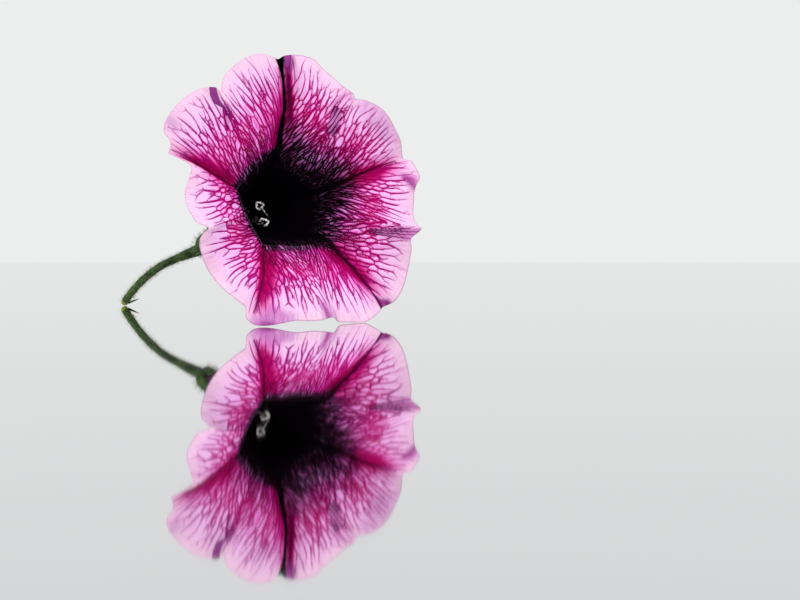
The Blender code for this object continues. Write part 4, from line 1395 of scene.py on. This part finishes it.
def build_calyx(look):
    """The cup and its five narrow lobes."""
    cup = bmesh.new()
    cup.verts.layers.float.new("midrib")
    line = [cup.verts.new((CUP_RADIUS * r, 0.0, h)) for r, h in CUP_PROFILE]
    edges = [cup.edges.new(pair) for pair in zip(line, line[1:])]
    bmesh.ops.spin(cup, geom=line + edges, cent=(0.0, 0.0, 0.0), axis=(0.0, 0.0, 1.0), angle=2.0 * math.pi,
                   steps=CUP_SIDES, use_merge=True, dvec=(0.0, 0.0, 0.0))
    bmesh.ops.remove_doubles(cup, verts=cup.verts[:], dist=1e-4)
    for vert in cup.verts:
        azimuth = math.degrees(math.atan2(vert.co.y, vert.co.x))
        radius = math.hypot(vert.co.x, vert.co.y)
        groove = GROOVE_DEPTH * math.cos(math.radians((azimuth - LOBE_TURN) * LOBES)) * min(vert.co.z, 1.0)
        vert.co = cup_place(azimuth, radius - groove * min(radius, 1.0), vert.co.z) * MM
    for lobe in range(LOBES):
        add_lobe(cup, FIRST_LOBE + LOBE_STEP * lobe, 1.0 + 0.08 * math.sin(lobe * 2.4))
    bmesh.ops.recalc_face_normals(cup, faces=cup.faces[:])
    bmesh.ops.solidify(cup, geom=cup.faces[:], thickness=CALYX_WALL * CALYX_THINNER * MM)
    return solid_piece(cup, "calyx_cup_and_lobes", look)


def add_lobe(work, azimuth, longer):
    """One narrow lobe of the calyx, a grid bent to its outline."""
    layer = work.verts.layers.float["midrib"]
    made = bmesh.ops.create_grid(work, x_segments=LOBE_COLUMNS, y_segments=LOBE_ROWS, size=0.5)["verts"]
    for vert in made:
        x = vert.co.x * 2.0
        share = vert.co.y + 0.5
        height = CUP_HEIGHT - LOBE_ROOT + (LOBE_LENGTH * longer + LOBE_ROOT) * share
        radius = lobe_radius(share) + 0.02
        to_tip = max(share - LOBE_TIP, 0.0) / (1.0 - LOBE_TIP)
        tip = 0.06 + 0.94 * math.sqrt(max(1.0 - to_tip ** 2, 0.0))
        width = LOBE_WIDTH * (1.0 - 0.45 * share ** 2) * (1.0 + 0.2 * math.sin(math.pi * share)) * tip
        bend = 0.16 * width * x * x + 0.05 * math.sin(share * 9.0 + azimuth)
        turned = azimuth + math.degrees(x * width / 2.0 / radius) + 3.0 * math.sin(share * 2.6 + azimuth)
        vert.co = cup_place(turned, radius - bend + 0.1 * math.exp(-(x * 4.0) ** 2), height) * MM
        vert[layer] = math.exp(-(x * 5.0) ** 2)


def stalk_radii(share):
    """Radius of the stalk, thicker under the calyx and flared where it joins it."""
    thicker = (STALK_TOP_RADIUS - STALK_RADIUS) * run_in(share, STALK_THICKENS)
    return STALK_RADIUS + thicker + STALK_FLARE * run_in(share, FLARE_BEGINS)


def build_stalk(look):
    """The flower stalk with the sliver of skin at its cut end."""
    work = bmesh.new()
    share = np.linspace(0.0, 1.0, STALK_STEPS)
    wave = 0.04 * np.sin(share * 47.0) + 0.03 * np.sin(share * 101.0 + 1.0)
    radii = (stalk_radii(share) + wave) * np.where(share < 0.008, 0.9, 1.0)
    sweep(work, smooth_path(STALK_PATH, STALK_STEPS), radii, STALK_SIDES)
    radii = SLIVER_WIDTH * np.maximum(1.0 - np.linspace(0.0, 1.0, SLIVER_STEPS) ** 2, 0.06)
    sweep(work, smooth_path(SLIVER_PATH, SLIVER_STEPS), radii, SLIVER_SIDES, SLIVER_FLATTEN)
    for vert in work.verts:
        vert.co.z = max(vert.co.z, 0.0)
    return solid_piece(work, "stalk_and_sliver", look)


def build_hairs(look):
    """Fine hairs standing on the stalk and the calyx."""
    work = bmesh.new()
    path = smooth_path(STALK_PATH, HAIR_SITES)
    along = unit(np.gradient(path, axis=0))
    for _ in range(STALK_HAIRS):
        at = rng.randrange(2, HAIR_SITES - 1)
        direction = along[at]
        around = rng.uniform(0.0, 2.0 * math.pi)
        across = square_to(direction)
        way = math.cos(around) * across + math.sin(around) * np.cross(direction, across)
        root = path[at] + way * (stalk_radii(at / (HAIR_SITES - 1.0)) - 0.03)
        length = rng.uniform(*STALK_HAIR_LENGTHS)
        if root[2] + way[2] * length > 0.05:
            hair(work, root, way, length, direction * rng.uniform(*STALK_HAIR_LEANS))
    for _ in range(CALYX_HAIRS):
        azimuth = rng.uniform(0.0, 360.0)
        height = (CUP_HEIGHT + LOBE_LENGTH) * rng.random()
        off_lobe = turn(azimuth, FIRST_LOBE + LOBE_STEP * round((azimuth - FIRST_LOBE) / LOBE_STEP))
        up_lobe = max(height - CUP_HEIGHT, 0.0) / LOBE_LENGTH
        radius = lobe_radius(up_lobe) + 0.25
        if up_lobe > 0.0 and abs(math.radians(off_lobe)) * radius > LOBE_WIDTH * 0.45 * (1.0 - up_lobe):
            continue
        root = cup_place(azimuth, radius - 0.1, height)
        way = unit(cup_place(azimuth, radius + 1.0, height + rng.uniform(-0.2, 0.5)) - root)
        length = rng.uniform(*CALYX_HAIR_LENGTHS)
        hair(work, root, way, length, FOOT_ALONG * rng.uniform(*CALYX_HAIR_LEANS))
    return finish_mesh(work, "green_hairs", look)


def build_pistil(look):
    """Ovary, style and stigma in the middle of the tube."""
    work = bmesh.new()
    length = float(np.linalg.norm(np.diff(spine(np.linspace(0.0, 1.0, 60)), axis=0), axis=1).sum())
    t = np.linspace(0.012, PISTIL_TOP, PISTIL_STEPS)
    bulge = 1.0 - ((t * length - OVARY_LENGTH * 0.4) / (OVARY_LENGTH * 0.6)) ** 2
    radii = np.maximum(OVARY_RADIUS * np.sqrt(np.clip(bulge, 0.0, 1.0)), STYLE_RADIUS * 0.8)
    radii = radii + (STIGMA_RADIUS - radii) * ease((t - PISTIL_TOP + 0.045) / 0.03)
    radii[-2:] = STIGMA_RADIUS * 0.85, STIGMA_RADIUS * 0.5
    sweep(work, spine(t), radii, PISTIL_SIDES)
    return solid_piece(work, "pistil_body", look)


def stamen_path(seat, stamen):
    """Middle of a filament from the tube's wall up to its anther's tip, and the anther's middle."""
    wall = float(along_stations(STAMEN_SEAT, TUBE_PROFILE)) - SEAT_DEPTH
    seated = (STAMEN_SEAT, seat, wall), (STAMEN_SEAT + SEAT_RUN, seat, wall * 0.98)
    stations = (*seated, stamen[:3], stamen[3:])
    line = smooth_path([round_place(spine(t), t, azimuth, radius) for t, azimuth, radius in stations], 60)
    run = np.concatenate([[0.0], np.cumsum(np.linalg.norm(np.diff(line, axis=0), axis=1))])
    steps = np.append(np.linspace(0.0, run[-1] - ANTHER_LENGTH * 0.75, FILAMENT_STEPS),
                      run[-1] - ANTHER_LENGTH * 0.5)
    path = np.stack([np.interp(steps, run, line[:, k]) for k in range(3)], axis=-1)
    return path[:-1], path[-1]


def build_stamen(index, stamen, anther, thread, pollen):
    """One filament with its anther, a curled open sac covered in grains."""
    start, end, radius, thick, grains, pale_curl, pale_grains = anther
    work = bmesh.new()
    pale = work.verts.layers.float.new("pale")
    path, middle = stamen_path(stamen[0], stamen[1:])
    sweep(work, path, np.full(len(path), FILAMENT_RADIUS), STAMEN_SIDES)
    for vert in work.verts:
        vert[pale] = pale_grains
    thread_verts = set(work.verts)
    arc = np.radians(np.linspace(start, end, CURL_STEPS))
    wide = radius * (1.0 + 0.14 * np.sin(3.0 * arc + 1.0) + 0.08 * np.sin(7.0 * arc))
    curl = [middle + r * (math.cos(a) * EAST + math.sin(a) * UP) + 0.15 * math.sin(3.0 * a) * NORTH
            for a, r in zip(arc, wide)]
    radii = thick * (1.0 - 0.35 * np.abs(np.linspace(-1.0, 1.0, CURL_STEPS)) ** 3)
    sweep(work, curl, radii, STAMEN_SIDES)
    for vert in work.verts:
        if vert not in thread_verts:
            vert[pale] = pale_curl
    for _ in range(grains):
        at = curl[rng.randrange(CURL_STEPS)]
        way = unit(np.array([rng.gauss(0.0, 1.0) for _ in range(3)]))
        grain = rng.uniform(*GRAIN_RADII) * MM
        for vert in bmesh.ops.create_icosphere(work, subdivisions=1, radius=grain)["verts"]:
            vert.co = vert.co + Vector((at + way * thick) * MM)
            vert[pale] = pale_grains
    for face in work.faces:
        face.material_index = 0 if face.verts[0] in thread_verts else 1
    return solid_piece(work, "stamen_body_" + str(index), thread, pollen)


def floor_look():
    """A glossy pale floor, with a trace of grain."""
    look = Look("floor_gloss", 0.03, Metallic=1.0)
    grain = look.noise(look.place(), 3.0, 1.0)
    return look.finish(look.mix(grain, FLOOR_GREY, FLOOR_SHADE))


def build_floor():
    """A pale glossy floor that ends behind the flower, before the bright surround."""
    floor = bmesh.new()
    bmesh.ops.create_grid(floor, x_segments=1, y_segments=1, size=1.0)
    for vert in floor.verts:
        end = FLOOR_BACK if vert.co.y > 0.0 else FLOOR_FRONT
        vert.co = (vert.co.x * FLOOR_HALF_WIDTH, end, -FLOOR_DROP)
    finish_mesh(floor, "floor", floor_look())


def area_light(name, place, size, power):
    """A soft square white light that looks at the flower."""
    lamp = bpy.data.lights.new(name, "AREA")
    lamp.shape = "RECTANGLE"
    lamp.size = lamp.size_y = size
    lamp.energy = power
    holder = bpy.data.objects.new(name, lamp)
    holder.location = place
    holder.rotation_euler = (Vector(LIGHT_TARGET) - Vector(place)).to_track_quat("-Z", "Y").to_euler()
    bpy.context.scene.collection.objects.link(holder)


def light_and_camera():
    """A bright even surround, two soft lights and the photograph's camera."""
    scene = bpy.context.scene
    scene.world = bpy.data.worlds.new("surround")
    scene.world.use_nodes = True
    background = scene.world.node_tree.nodes["Background"]
    background.inputs["Color"].default_value = SURROUND
    background.inputs["Strength"].default_value = 1.0
    scene.view_settings.view_transform = "Standard"
    area_light("front_light", (0.25, -0.55, 0.6), size=0.5, power=3.0)
    area_light("left_light", (-0.6, -0.1, 0.3), size=0.4, power=1.5)
    lens = bpy.data.cameras.new("camera")
    lens.lens = CAMERA_LENS
    lens.sensor_width = CAMERA_SENSOR
    lens.clip_start = 0.01
    camera = bpy.data.objects.new("camera", lens)
    camera.location = CAMERA_PLACE
    camera.rotation_euler = (math.radians(CAMERA_TILT), 0.0, 0.0)
    scene.collection.objects.link(camera)
    scene.camera = camera


def dress(piece, slot, *nodes):
    """Let a finished piece ride with the flower and stand for its solids."""
    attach(piece, "root")
    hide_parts(*nodes)


light_and_camera()
build_floor()
dress(build_petals(petal_look()), "petal", "corolla")
dress(build_calyx(calyx_look()), "calyx_green", "calyx")
dress(build_stalk(stalk_look()), "stalk_green", "stalk")
hairs = build_hairs(hair_look())
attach(hairs, "root")
dress(build_pistil(pistil_look()), "pistil_green", "pistil")
thread = thread_look()
pollen = pollen_look()
for number, (stamen, anther) in enumerate(zip(STAMENS, ANTHERS), 1):
    dress(build_stamen(number, stamen, anther, thread, pollen), "pollen", "stamen_" + str(number))
